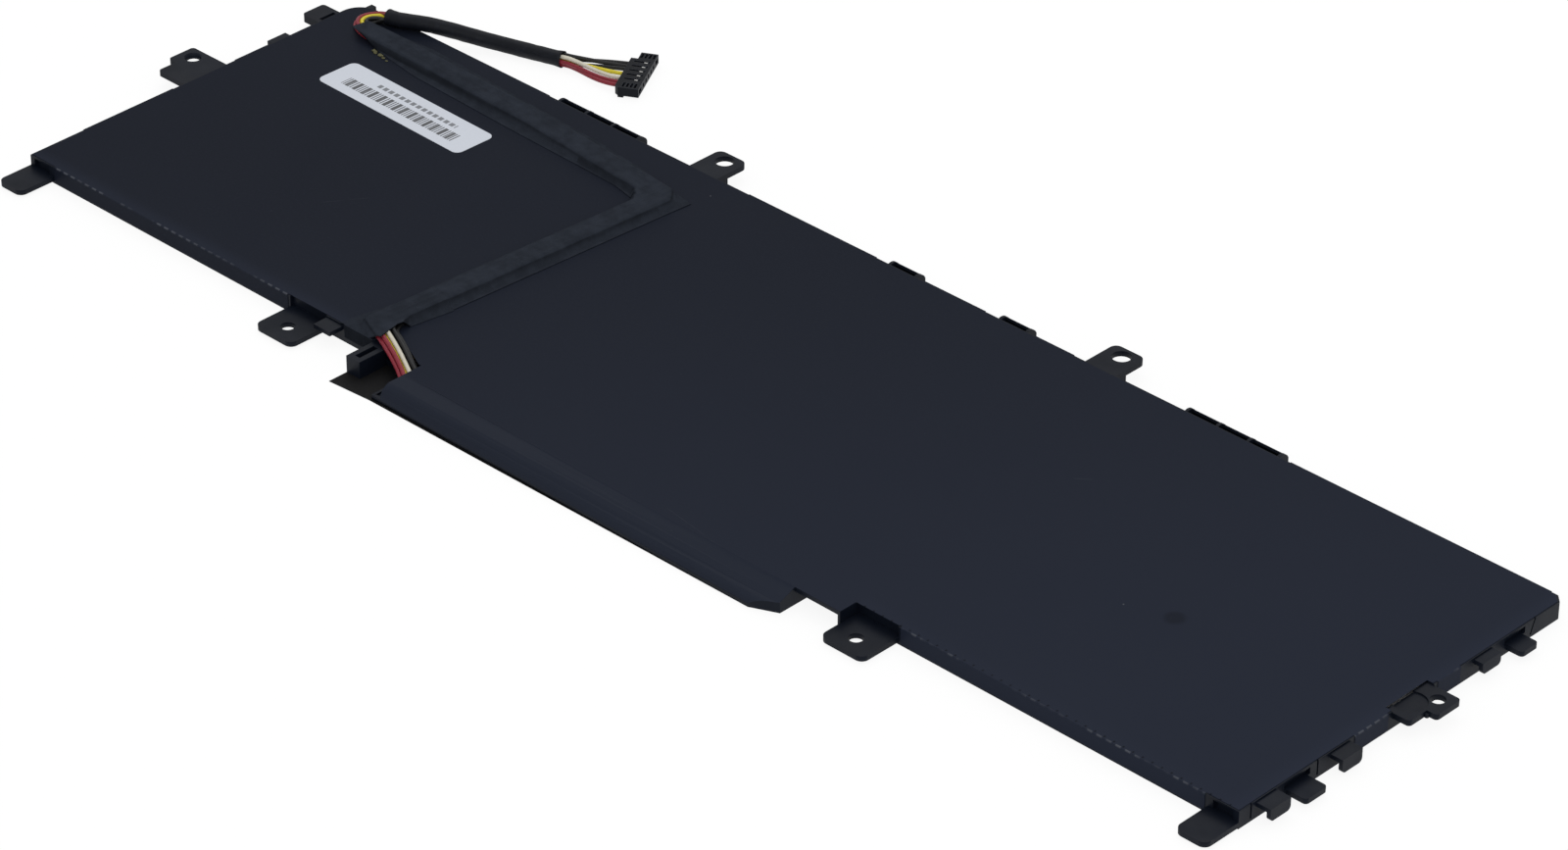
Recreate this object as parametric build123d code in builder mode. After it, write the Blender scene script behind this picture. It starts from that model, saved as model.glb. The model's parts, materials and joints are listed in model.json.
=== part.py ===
from build123d import *
import os
from math import cos, radians, sin, tan

# Slim laptop battery pack: four pouch cells in a moulded frame, closed by a film on each side.
# The origin is at the centre of the main rectangle's underside. X runs along the length, from
# the end with the harness plug to the far end. Y runs from the board bay's edge to the clip edge.

# Main body, over both films
BODY_LENGTH = 320.0
BODY_WIDTH = 90.4
BODY_HEIGHT = 3.9
FILM = 0.1

# Frame moulding
WALL = 1.2
END_WALL = 1.6
DIVIDER = 1.0
ROUND_CORNER = 5.0
CUT_CORNER = 1.5
RECESS_DEPTH = 0.8
RIM = 0.4
POCKET_ROUND = 2.6
TAB_THICKNESS = 1.2
UPPER_DROP = 0.4

# Cells
CELL_COUNT = 4
CELL_CLEARANCE = 0.4
CELL_ROUND = 1.2
CELL_HEADROOM = 0.3
PAD_THICKNESS = 0.2
PAD_LENGTH = 60.0
PAD_WIDTH = 50.0
TERRACE_LENGTH = 4.0
TERRACE_THICKNESS = 0.5
SIDE_FOLD = 0.35
GUTTER_WIDTH = 8.4
LEAD_WIDTH = 4.0
LEAD_THICKNESS = 0.12
LEAD_OFFSET = 12.0
STRIP_THICKNESS = 0.15
STRIP_WIDTH = 2.2
STRIP_GAP = 0.8
INSULATOR = 0.15

# Board bay, round the board and measured from the near edge
BAY_LEFT_ROOM = 9.0
BAY_RIGHT_ROOM = 6.1
BAY_DEPTH = 10.4
BAY_CHAMFER = 5.6
BAY_CHAMFER_RISE = 2.6
BAY_FLOOR = 0.6
BAY_LIP = 0.6
BAY_LIP_HEIGHT = 1.1
BAY_FILM_SETBACK = 2.5
BAY_FILM_FOLD = 8.1
BAY_FILM_SLOPE = 3.9
BAY_FILM_DROP = 1.6
BAY_HEM_LEFT = 1.2
BAY_HEM_RIGHT = 0.9
SHELF_LENGTH = 11.2
SHELF_DEPTH = 3.9
SHELF_THICKNESS = 0.9

# Protection board and its components
BOARD_THICKNESS = 0.6
BOARD_GAP = 0.4
BOARD_FAR_EDGE = 0.9
BOARD_MARGIN = 1.4
TAP_WIDTH = 1.4
TAP_REACH = 1.6
TAP_GAP = 0.4
CHIP_HEIGHT = 0.75
GAUGE_X = 38.0
GAUGE_SIDE = 4.4
GUARD_X = 49.0
GUARD_SIDE = 3.0
SWITCH_X = 56.5
SWITCH_SIDE = 3.3
SHUNT_X = 68.5
SHUNT_LENGTH = 6.3
SHUNT_WIDTH = 3.2
SHUNT_HEIGHT = 0.6
FUSE_X = 77.5
FUSE_LENGTH = 4.6
FUSE_WIDTH = 2.6
CAPACITOR_X = 13.0
CAPACITOR_LENGTH = 1.6
CAPACITOR_WIDTH = 0.8
CAPACITOR_HEIGHT = 0.7
CAPACITOR_PITCH = 3.4
CAPACITOR_COUNT = 6
THERMISTOR_X = 53.0
THERMISTOR_WIDTH = 2.5
THERMISTOR_LENGTH = 7.0

# Post before the bay, beside the notch where the harness comes out
POST_BEFORE_BAY = 10.5
POST_WIDTH = 3.7
POST_DEPTH = 7.2
POST_SLOT = 1.3
POST_SLOT_DEPTH = 1.1

# Hole tabs
NEAR_TAB_BEFORE_BAY = 29.3
NEAR_TAB_AFTER_BAY = 16.6
NEAR_TAB_WIDTH = 10.5
NEAR_TAB_REACH = 9.4
NEAR_HOLE_OUT = 5.4
SMALL_HOLE = 2.9
FAR_TAB_X = (101.7, 208.4)
FAR_TAB_WIDTH = 7.8
FAR_TAB_REACH = 9.2
FAR_HOLE_OUT = 6.5
LARGE_HOLE = 4.0
FAR_ROOT = 3.4
FAR_FOOT = 4.6
END_TAB_NEAR = 41.4
END_TAB_FAR = 53.0
END_TAB_LOBE = 46.2
END_HOLE_Y = 50.2
LEFT_TAB_REACH = 8.6
LEFT_LOBE_REACH = 10.9
LEFT_HOLE_OUT = 7.7
RIGHT_TAB_REACH = 3.8
RIGHT_LOBE_REACH = 6.1
RIGHT_HOLE_OUT = 3.1
SINK_RADIUS = 1.9
SCOOP_RADIUS = 3.3
SCOOP_DEPTH = 0.3
PIN_RADIUS = 0.45
TAB_ROUND = 1.6
END_TAB_ROUND = 0.8

# Tongues at the foot of the walls, and hooks under the top film: place, width and reach, and for
# a hook its drop. On an end wall a negative place is measured from the far edge.
TONGUE_THICKNESS = 1.1
NEAR_TONGUE_TOP = 1.5
CORNER_TONGUE_WIDTH = 7.0
CORNER_TONGUE_REACH = 8.7
END_TONGUE_TOP = 2.0
RIGHT_TONGUES = ((15.5, 5.8, 4.5), (-14.4, 4.7, 3.6))
HOLLOW_MARGIN = 0.6
LEFT_TONGUE = (-8.4, 6.0, 5.8)
LEFT_TONGUE_TOP = 3.3
LEFT_TONGUE_THICKNESS = 1.8
LEFT_SLOT_SETBACK = 0.6
LEFT_SLOT = (1.0, 4.0)
RIGHT_HOOKS = ((7.2, 5.4, 3.3, 2.6), (27.0, 5.4, 2.9, 2.9), (-23.6, 5.2, 2.1, 2.4))
LEFT_HOOK = (-22.2, 5.0, 1.9, 2.4)
NEAR_HOOK = (21.6, 4.6, 3.5)
HOOK_PLATE = 0.9
LIP_ROUND = 0.9

# Seams in the right end wall: place and lean
END_SEAMS = ((3.2, 0.0), (21.0, 0.0), (81.8, 1.2))
SEAM_WIDTH = 0.4
SEAM_DEPTH = 0.7
SEAM_FOOT = 0.7

# Open gutter clips on the far wall, and the corner lug
LONG_CLIPS = (71.2, 241.2)
LONG_CLIP_WIDTH = 23.4
LONG_CLIP_RIBS = 2
SHORT_CLIPS = (156.5, 185.8)
SHORT_CLIP_WIDTH = 7.6
CLIP_REACH = 3.1
CLIP_WALL = 0.7
CLIP_LEDGE = 0.5
CLIP_ROUND = 1.3
LUG_X = 2.6
LUG_SIZE = 1.4

# Films: flaps folded down between the clips, the notch at the harness and the barrier paper
FLAP_FOOT = 0.4
FLAP_GAP = 0.6
FAR_FLAPS = ((8.0, 57.5), (115.0, 150.0), (163.0, 179.0), (192.0, 202.0))
LAST_FLAP_GAP = 3.0
RIGHT_FLAPS = ((31.0, 40.2), (54.0, 60.4))
LEFT_FLAPS = ((14.0, 38.0), (55.0, 64.0))
FILM_INSET = 0.3
NOTCH_WIDTH = 3.0
NOTCH_DEPTH = 4.5
PAPER_DEPTH = 11.8

# Harness: the lanes are counted from the left hand side, seen along the wires from the board.
# A layout gives the pitch of the lanes and how far every second lane rides above the others.
WIRE = 0.9
WIRE_NAMES = ("red_1", "red_2", "black_1", "white", "black_2", "yellow", "black_3")
PLUG_PLACES = (5.3, 6.6, -1.9, 0.1, -2.9, 1.2, -0.9)
SOLDERED = (1.15, 0.0)
UNDER_TAPE = (0.82, 0.52)
AT_BEND = (0.63, 0.66)
AT_NOTCH = (0.53, 0.86)
BUNDLE_PITCH = 1.05
BUNDLE_ANGLES = (180, 120, 240, None, 300, 60, 0)
WIRE_REST = 0.03
WIRE_SIDES = 6
ARC_SHARE = 0.45
SHORT_ARC_SHARE = 0.2
LONGEST_RADIUS = 120.0
TAPE_CORNER = 4.6
PLUG_APPROACH = 3.0
WIRE_END = 3.0
SOLDER = 0.9
SLEEVE_BORE = 3.3
SLEEVE_WALL = 0.1
SLEEVE_SIDES = 10

# Cloth tape over the wires: a flat border and a raised band with sloping sides
TAPE = 0.15
TAPE_CLEARANCE = 0.1
BAND_SLACK = 0.5
BAND_SLOPE = 30.0
BAND_BEVEL = 2.6
BAND_CORNER = 3.6

# Plug, a flat wire-to-board housing, lying beyond the far edge
PLUG_CENTRE = (60.8, 21.9)
PLUG_ANGLE = 29.3
PLUG_LENGTH = 15.5
PLUG_DEPTH = 5.2
PLUG_HEIGHT = 2.4
PLUG_EAR_LENGTH = 2.7
PLUG_EAR_SETBACK = 1.5
PLUG_CUT = 0.7
PLUG_FOOT = 0.4
PLUG_FOOT_SIZE = (1.6, 1.2)
CONTACT_COUNT = 5
CONTACT_PITCH = 1.9
SLOT_WIDTH = 0.5
SLOT_LENGTH = 2.2
SLOT_DEPTH = 0.7
CONTACT_WIDTH = 0.7
CONTACT_LENGTH = 0.8
CONTACT_THICKNESS = 0.5
BLADE_OFFSET = 6.4
BLADE_SLOT_LENGTH = 1.8
BLADE_SLOT_PITCH = 0.85
BLADE_SLOT_COUNT = 4
GUIDE_SIZE = (0.9, 0.4)
GUIDE_DEPTH = 0.25
GUIDE_SETBACK = 0.9
SOCKET_WIDTH = 0.9
SOCKET_HEIGHT = 1.0
SOCKET_DEPTH = 1.6

# Label
LABEL_LENGTH = 43.4
LABEL_WIDTH = 10.4
LABEL_ROUND = 1.6
LABEL_THICKNESS = 0.08
LABEL_CENTRE = (40.0, -24.3)
LABEL_TURN = -1.4

# Edges and levels that follow from the sizes above
LEFT_END = -BODY_LENGTH / 2
RIGHT_END = BODY_LENGTH / 2
NEAR_EDGE = -BODY_WIDTH / 2
FAR_EDGE = BODY_WIDTH / 2
FRAME_BOTTOM = FILM
FRAME_TOP = BODY_HEIGHT - FILM
BAY_FLOOR_TOP = FRAME_BOTTOM + BAY_FLOOR
BOARD_TOP = BAY_FLOOR_TOP + BOARD_THICKNESS
UPPER_TOP = BODY_HEIGHT - UPPER_DROP
POCKET_LENGTH = (BODY_LENGTH - 2 * END_WALL - (CELL_COUNT - 1) * DIVIDER) / CELL_COUNT
POCKET_PITCH = POCKET_LENGTH + DIVIDER
GUTTER_FAR = NEAR_EDGE + WALL + GUTTER_WIDTH
POCKET_FAR = FAR_EDGE - WALL
CELL_LENGTH = POCKET_LENGTH - 2 * CELL_CLEARANCE
CELL_BOTTOM = FILM + PAD_THICKNESS
CELL_TOP = FRAME_TOP - CELL_HEADROOM
CELL_MIDDLE = (CELL_BOTTOM + CELL_TOP) / 2
TERRACE_NEAR = GUTTER_FAR + CELL_CLEARANCE
CELL_NEAR = TERRACE_NEAR + TERRACE_LENGTH
CELL_FAR = POCKET_FAR - CELL_CLEARANCE
FIRST_CELL_X = LEFT_END + END_WALL + POCKET_LENGTH / 2
CELL_X = [FIRST_CELL_X + number * POCKET_PITCH for number in range(CELL_COUNT)]

# The cells' leads give the places of the taps, those give the board's ends, and those the bay's
HALF_LEAD = LEAD_WIDTH / 2
MINUS_X = [x - LEAD_OFFSET for x in CELL_X]
PLUS_X = [x + LEAD_OFFSET for x in CELL_X]
FIRST_TAP = PLUS_X[1] - HALF_LEAD - TAP_GAP - TAP_WIDTH
MINUS_TAP = FIRST_TAP - TAP_GAP - TAP_WIDTH
MIDDLE_TAP = PLUS_X[1] + LEAD_WIDTH
PLUS_TAP = PLUS_X[2] - HALF_LEAD
LAST_TAP = PLUS_TAP - TAP_GAP - TAP_WIDTH
SOLDER_X = MINUS_TAP - STRIP_GAP - SOLDER
BOARD_LEFT = SOLDER_X - WIRE_END
BOARD_RIGHT = PLUS_TAP + TAP_WIDTH + BOARD_MARGIN
BAY_LEFT = BOARD_LEFT - BAY_LEFT_ROOM
BAY_RIGHT = BOARD_RIGHT + BAY_RIGHT_ROOM
BAY_FILM_LEFT = BAY_LEFT + BAY_FILM_SETBACK
SHELF_RIGHT = BAY_RIGHT + SHELF_LENGTH
POST_LEFT = BAY_LEFT - POST_BEFORE_BAY
NOTCH_STEP = POST_LEFT + NOTCH_WIDTH
NEAR_TAB_X = (BAY_LEFT - NEAR_TAB_BEFORE_BAY, BAY_RIGHT + NEAR_TAB_AFTER_BAY)

os.makedirs("parts", exist_ok=True)


def finish(piece, label):
    """Name a finished piece and write it out."""
    piece.part.label = label
    export_step(piece.part, f"parts/{label}.step")


def left(distance):
    """X of a point at a distance from the left end."""
    return LEFT_END + distance


def near(distance):
    """Y of a point at a distance from the near edge."""
    return NEAR_EDGE + distance


def along(distance):
    """X of a place from the left end, or from the bay's left side where it is negative."""
    return LEFT_END + distance if distance >= 0 else BAY_LEFT + distance


def beside(distance):
    """Y of a place from the near edge, or from the far edge where it is negative."""
    return NEAR_EDGE + distance if distance >= 0 else FAR_EDGE + distance


def around(centre, width):
    """Span of a given width about a centre."""
    return (centre - width / 2, centre + width / 2)


def slabs(spans, levels, mode=Mode.ADD, corner=0.0):
    """Upright slabs between two levels, one for each pair of an X and a Y span."""
    with BuildSketch(Plane.XY.offset(levels[0])) as outline:
        for x_span, y_span in spans:
            size = (abs(x_span[1] - x_span[0]), abs(y_span[1] - y_span[0]))
            with Locations(((x_span[0] + x_span[1]) / 2, (y_span[0] + y_span[1]) / 2)):
                if corner:
                    RectangleRounded(*size, corner)
                else:
                    Rectangle(*size)
    extrude(outline.sketch, amount=levels[1] - levels[0], mode=mode)


def sheet(points, levels, mode=Mode.ADD):
    """Upright slab with a straight-sided outline."""
    with BuildSketch(Plane.XY.offset(levels[0])) as outline:
        with BuildLine():
            Polyline(*points, close=True)
        make_face()
    extrude(outline.sketch, amount=levels[1] - levels[0], mode=mode)


def strap(path, x_span, thickness):
    """Flat strap seen from its side: a path of Y and Z values, thickened upwards."""
    raised = [(y, z + thickness) for y, z in reversed(path)]
    with BuildSketch(Plane.YZ.offset(x_span[0])) as side:
        with BuildLine():
            Polyline(*path, *raised, close=True)
        make_face()
    extrude(side.sketch, amount=x_span[1] - x_span[0])


# Board bay, its cut corner and the cover film that curves down over its lip
BAY_OUTLINE = (
    (BAY_LEFT, near(0)),
    (BAY_LEFT, near(-BAY_DEPTH)),
    (BAY_RIGHT - BAY_CHAMFER, near(-BAY_DEPTH)),
    (BAY_RIGHT, near(-BAY_DEPTH + BAY_CHAMFER_RISE)),
    (BAY_RIGHT, near(0)),
)


def cover_profile(x, drop, hem, skin):
    """Side view of the space under the bay's cover film, inside a skin of the film's thickness."""
    top = BODY_HEIGHT - skin
    edge = near(-BAY_DEPTH - FILM + skin)
    fold = near(-BAY_FILM_FOLD)
    middle = ((fold + 2 * edge) / 3, (2 * (top - drop) + hem) / 3)
    with BuildSketch(Plane.YZ.offset(x)) as side:
        with BuildLine():
            Polyline((edge, hem), (edge, FRAME_BOTTOM), (near(0), FRAME_BOTTOM), (near(0), top))
            Polyline((near(0), top), (near(-BAY_FILM_SLOPE), top), (fold, top - drop))
            ThreePointArc((fold, top - drop), middle, (edge, hem))
        make_face()
    return side.sketch


with BuildPart() as bay_space:
    inside_left = cover_profile(BAY_LEFT, 0.0, BAY_HEM_LEFT, FILM)
    inside_right = cover_profile(BAY_RIGHT, BAY_FILM_DROP, BAY_HEM_RIGHT, FILM)
    loft([inside_left.face(), inside_right.face()], ruled=True)

with BuildPart() as apron:
    outside_left = cover_profile(BAY_LEFT, 0.0, BAY_HEM_LEFT, 0.0)
    outside_right = cover_profile(BAY_RIGHT, BAY_FILM_DROP, BAY_HEM_RIGHT, 0.0)
    loft([outside_left.face(), outside_right.face()], ruled=True)
    add(bay_space.part, mode=Mode.SUBTRACT)
    apron_outline = (
        (BAY_FILM_LEFT, near(0)),
        (BAY_FILM_LEFT, near(-BAY_DEPTH - FILM)),
        (BAY_RIGHT - BAY_CHAMFER, near(-BAY_DEPTH - FILM)),
        (BAY_RIGHT, near(-BAY_DEPTH - FILM + BAY_CHAMFER_RISE)),
        (BAY_RIGHT, near(0)),
    )
    sheet(apron_outline, (BAY_HEM_RIGHT, BODY_HEIGHT), Mode.INTERSECT)

with BuildPart() as bay_tray:
    sheet(BAY_OUTLINE, (FRAME_BOTTOM, FRAME_TOP))
    with BuildSketch(Plane.XY.offset(BAY_FLOOR_TOP)) as bay_inside:
        with BuildLine():
            Polyline(*BAY_OUTLINE, close=True)
        make_face()
        offset(amount=-BAY_LIP, kind=Kind.INTERSECTION)
    extrude(amount=FRAME_TOP, mode=Mode.SUBTRACT)
    low_lip = (BAY_LEFT, BAY_RIGHT - BAY_CHAMFER)
    slabs([(low_lip, (near(-BAY_DEPTH), near(-BAY_LIP)))], (BAY_LIP_HEIGHT, FRAME_TOP), Mode.SUBTRACT)
    add(bay_space.part, mode=Mode.INTERSECT)

# Moulded frame
WHOLE_HEIGHT = (FRAME_BOTTOM, FRAME_TOP)
UPPER_PLATE = (UPPER_TOP - TAB_THICKNESS, UPPER_TOP)
NEAR_PLATE = (NEAR_TONGUE_TOP - TONGUE_THICKNESS, NEAR_TONGUE_TOP)
END_PLATE = (END_TONGUE_TOP - TONGUE_THICKNESS, END_TONGUE_TOP)
FAR_ROOT_Y = FAR_EDGE - WALL / 2
RIGHT_ROOT_X = RIGHT_END - END_WALL / 2
LEFT_ROOT_X = LEFT_END + END_WALL / 2


def gutter_clips(centres, width, ribs):
    """Open gutters on the far wall: a floor, an upright outer wall, and webs with arched tops."""
    outside = FAR_EDGE + CLIP_REACH
    bottom = FRAME_BOTTOM + CLIP_LEDGE
    shoulder = UPPER_TOP - CLIP_ROUND
    spans = [around(left(centre), width) for centre in centres]
    slabs([(span, (FAR_ROOT_Y, outside)) for span in spans], (bottom, bottom + CLIP_WALL))
    slabs([(span, (outside - CLIP_WALL, outside)) for span in spans], (bottom, shoulder))
    pitch = (width - CLIP_WALL) / (ribs + 1)
    for span in spans:
        for number in range(ribs + 2):
            with BuildSketch(Plane.YZ.offset(span[0] + number * pitch)) as web:
                with BuildLine():
                    Polyline((FAR_ROOT_Y, shoulder), (FAR_ROOT_Y, bottom), (outside, bottom))
                    Line((outside, bottom), (outside, shoulder))
                    crown = ((FAR_EDGE + outside) / 2, UPPER_TOP)
                    ThreePointArc((outside, shoulder), crown, (FAR_ROOT_Y, shoulder))
                make_face()
            extrude(web.sketch, amount=CLIP_WALL)


with BuildPart() as frame:
    with BuildSketch(Plane.XY.offset(FRAME_BOTTOM)) as body_outline:
        Rectangle(BODY_LENGTH, BODY_WIDTH)
        fillet(body_outline.vertices().group_by(Axis.Y)[-1].sort_by(Axis.X)[0], ROUND_CORNER)
        chamfer(body_outline.vertices().group_by(Axis.Y)[-1].sort_by(Axis.X)[-1], CUT_CORNER)
        with Locations((0, (near(WALL) + GUTTER_FAR) / 2)):
            Rectangle(BODY_LENGTH - 2 * END_WALL, GUTTER_WIDTH, mode=Mode.SUBTRACT)
        pocket_near = GUTTER_FAR - POCKET_ROUND
        with Locations(*[(x, (pocket_near + POCKET_FAR) / 2) for x in CELL_X]):
            RectangleRounded(POCKET_LENGTH, POCKET_FAR - pocket_near, POCKET_ROUND, mode=Mode.SUBTRACT)
        for x in NEAR_TAB_X:
            with Locations((x, near(WALL + RECESS_DEPTH / 2))):
                Rectangle(NEAR_TAB_WIDTH + 2 * WALL, RECESS_DEPTH)
            with Locations((x, near(RECESS_DEPTH / 2))):
                Rectangle(NEAR_TAB_WIDTH, RECESS_DEPTH, mode=Mode.SUBTRACT)
    extrude(amount=FRAME_TOP - FRAME_BOTTOM)
    add(bay_tray.part)

    # The walls are hollowed above the tongues, under a thin rim
    corners = ((LEFT_END, LEFT_END + CORNER_TONGUE_WIDTH), (RIGHT_END - CORNER_TONGUE_WIDTH, RIGHT_END))
    hollow_depth = (NEAR_EDGE, near(RECESS_DEPTH))
    corner_hollows = [((first + WALL, last - WALL), hollow_depth) for first, last in corners]
    slabs(corner_hollows, (NEAR_TONGUE_TOP, FRAME_TOP - RIM), Mode.SUBTRACT)
    end_hollows = [
        ((RIGHT_END - RECESS_DEPTH, RIGHT_END), around(beside(y), width + 2 * HOLLOW_MARGIN))
        for y, width, reach in RIGHT_TONGUES
    ]
    slabs(end_hollows, (END_TONGUE_TOP, FRAME_TOP - RIM), Mode.SUBTRACT)

    # Seams in the right end wall
    for y, lean in END_SEAMS:
        with BuildSketch(Plane.YZ.offset(RIGHT_END)) as seam:
            with BuildLine():
                foot = around(near(y) - lean, SEAM_WIDTH)
                top = around(near(y), SEAM_WIDTH)
                Polyline((top[0], FRAME_TOP), (foot[0], SEAM_FOOT), (foot[1], SEAM_FOOT), (top[1], FRAME_TOP))
                Line((top[1], FRAME_TOP), (top[0], FRAME_TOP))
            make_face()
        extrude(seam.sketch, amount=-SEAM_DEPTH, mode=Mode.SUBTRACT)

    # The near wall is cut down to the board's level along the bay
    kerb_run = (POST_LEFT + POST_WIDTH, BAY_RIGHT - BAY_LIP)
    slabs([(kerb_run, (near(-BAY_LIP), near(WALL)))], (BOARD_TOP, FRAME_TOP), Mode.SUBTRACT)

    # Shelf between the bay and the right-hand near tab, and the slotted post at the notch
    shelf_run = (BAY_RIGHT - BAY_LIP, SHELF_RIGHT)
    slabs([(shelf_run, (near(-SHELF_DEPTH), near(0)))], (FRAME_TOP - SHELF_THICKNESS, FRAME_TOP))
    shelf_end = (SHELF_RIGHT - BAY_LIP, SHELF_RIGHT)
    post_run = (POST_LEFT, POST_LEFT + POST_WIDTH)
    upright_ends = [(shelf_end, (near(-SHELF_DEPTH), near(0))), (post_run, (near(-POST_DEPTH), near(0)))]
    slabs(upright_ends, WHOLE_HEIGHT)
    slot = around(POST_LEFT + POST_WIDTH / 2, POST_SLOT)
    slot_levels = (FRAME_TOP - POST_SLOT_DEPTH, FRAME_TOP)
    slabs([(slot, (near(-POST_DEPTH + WALL), near(-WALL)))], slot_levels, Mode.SUBTRACT)

    # Near hole tabs and corner tongues, at the foot of the near wall
    near_tabs = [around(x, NEAR_TAB_WIDTH) for x in NEAR_TAB_X]
    tips = [(span, (near(-NEAR_TAB_REACH), near(0))) for span in near_tabs]
    tips += [(span, (near(-CORNER_TONGUE_REACH), near(0))) for span in corners]
    roots = [(span, (near(-NEAR_TAB_REACH / 2), near(RECESS_DEPTH))) for span in near_tabs]
    roots += [(span, (near(-CORNER_TONGUE_REACH / 2), near(0))) for span in corners]
    slabs(tips, NEAR_PLATE, corner=TAB_ROUND)
    slabs(roots, NEAR_PLATE)

    # Far hole tabs under the top film, each on a root block with a low foot
    far_tabs = [around(left(x), FAR_TAB_WIDTH) for x in FAR_TAB_X]
    far_tip = (FAR_EDGE, FAR_EDGE + FAR_TAB_REACH)
    slabs([(span, far_tip) for span in far_tabs], UPPER_PLATE, corner=TAB_ROUND)
    slabs([(span, (FAR_ROOT_Y, FAR_EDGE + FAR_TAB_REACH / 2)) for span in far_tabs], UPPER_PLATE)
    blocks = [((span[1] - FAR_ROOT, span[1]), (FAR_ROOT_Y, FAR_EDGE + FAR_ROOT)) for span in far_tabs]
    slabs(blocks, (FRAME_BOTTOM, UPPER_TOP - TAB_THICKNESS))
    feet = [((span[1], span[1] + FAR_FOOT), (FAR_ROOT_Y, FAR_EDGE + WALL)) for span in far_tabs]
    slabs(feet, (FRAME_BOTTOM, FRAME_BOTTOM + TAB_THICKNESS))

    # End hole tabs, each with a longer lobe round its hole
    base_y = (near(END_TAB_NEAR), near(END_TAB_FAR))
    lobe_y = (near(END_TAB_LOBE), near(END_TAB_FAR))
    bases = [((LEFT_END - LEFT_TAB_REACH, LEFT_END + END_WALL), base_y)]
    bases += [((RIGHT_END - END_WALL, RIGHT_END + RIGHT_TAB_REACH), base_y)]
    lobes = [((LEFT_END - LEFT_LOBE_REACH, LEFT_END), lobe_y)]
    lobes += [((RIGHT_END, RIGHT_END + RIGHT_LOBE_REACH), lobe_y)]
    slabs(bases + lobes, UPPER_PLATE, corner=END_TAB_ROUND)
    slabs([((RIGHT_END - END_WALL, RIGHT_END), base_y)], (UPPER_TOP, FRAME_TOP), Mode.SUBTRACT)
    pin_x = RIGHT_END + RIGHT_TAB_REACH + PIN_RADIUS / 2
    with BuildSketch(Plane.XY.offset(UPPER_TOP - TAB_THICKNESS)) as pin:
        with Locations((pin_x, near(END_TAB_LOBE) - PIN_RADIUS / 2)):
            Circle(PIN_RADIUS)
    extrude(pin.sketch, amount=TAB_THICKNESS - PIN_RADIUS)
    with BuildSketch(Plane.XY.offset(UPPER_TOP)) as scoop:
        with Locations((RIGHT_END, near(END_TAB_LOBE))):
            Circle(SCOOP_RADIUS)
    extrude(scoop.sketch, amount=-SCOOP_DEPTH, mode=Mode.SUBTRACT)

    # Screw holes
    with Locations(*[(x, near(-NEAR_HOLE_OUT), NEAR_TONGUE_TOP) for x in NEAR_TAB_X]):
        Hole(SMALL_HOLE / 2, depth=2 * TAB_THICKNESS)
    with Locations(*[(left(x), FAR_EDGE + FAR_HOLE_OUT, UPPER_TOP) for x in FAR_TAB_X]):
        Hole(LARGE_HOLE / 2, depth=2 * TAB_THICKNESS)
    with Locations((RIGHT_END + RIGHT_HOLE_OUT, near(END_HOLE_Y), UPPER_TOP)):
        Hole(SMALL_HOLE / 2, depth=2 * TAB_THICKNESS)
    with Locations((LEFT_END - LEFT_HOLE_OUT, near(END_HOLE_Y), UPPER_TOP)):
        CounterSinkHole(SMALL_HOLE / 2, SINK_RADIUS, depth=2 * TAB_THICKNESS)

    # Tongues on the end walls; the left-hand one stands higher and has a slot at its root
    tongues = [
        ((RIGHT_END - END_WALL, RIGHT_END + reach), around(beside(y), width))
        for y, width, reach in RIGHT_TONGUES
    ]
    slabs(tongues, END_PLATE, corner=END_TAB_ROUND)
    left_y, left_width, left_reach = LEFT_TONGUE
    left_plate = (LEFT_TONGUE_TOP - LEFT_TONGUE_THICKNESS, LEFT_TONGUE_TOP)
    left_span = (LEFT_END - left_reach, LEFT_END + END_WALL)
    slabs([(left_span, around(beside(left_y), left_width))], left_plate, corner=END_TAB_ROUND)
    slot_end = LEFT_END - LEFT_SLOT_SETBACK
    slot_place = [((slot_end - LEFT_SLOT[0], slot_end), around(beside(left_y), LEFT_SLOT[1]))]
    slabs(slot_place, left_plate, Mode.SUBTRACT)

    # Hooks under the top film: a plate, and a lip with rounded corners that turns down at its tip
    hook_x, hook_span, hook_out = NEAR_HOOK
    plates = [
        ((RIGHT_ROOT_X, RIGHT_END + reach), around(beside(y), width))
        for y, width, reach, drop in RIGHT_HOOKS
    ]
    plates += [((LEFT_END - LEFT_HOOK[2], LEFT_ROOT_X), around(beside(LEFT_HOOK[0]), LEFT_HOOK[1]))]
    plates += [(around(BAY_LEFT - hook_x, hook_span), (near(-hook_out), near(WALL / 2)))]
    slabs(plates, (UPPER_TOP - HOOK_PLATE, UPPER_TOP))
    lips = [(RIGHT_END + reach - HOOK_PLATE, y, width, drop) for y, width, reach, drop in RIGHT_HOOKS]
    lips += [(LEFT_END - LEFT_HOOK[2], LEFT_HOOK[0], LEFT_HOOK[1], LEFT_HOOK[3])]
    for inner_x, y, width, drop in lips:
        with BuildSketch(Plane.YZ.offset(inner_x)) as lip:
            with Locations((beside(y), UPPER_TOP - drop / 2)):
                Rectangle(width, drop)
            fillet(lip.vertices().group_by(Axis.Y)[0], LIP_ROUND)
        extrude(lip.sketch, amount=HOOK_PLATE)

    # Gutter clips and the corner lug on the far wall
    gutter_clips(LONG_CLIPS, LONG_CLIP_WIDTH, LONG_CLIP_RIBS)
    gutter_clips(SHORT_CLIPS, SHORT_CLIP_WIDTH, 0)
    lug_levels = (UPPER_TOP - LUG_SIZE, UPPER_TOP)
    slabs([(around(left(LUG_X), LUG_SIZE), (POCKET_FAR, FAR_EDGE + LUG_SIZE))], lug_levels)
finish(frame, "frame")

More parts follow.
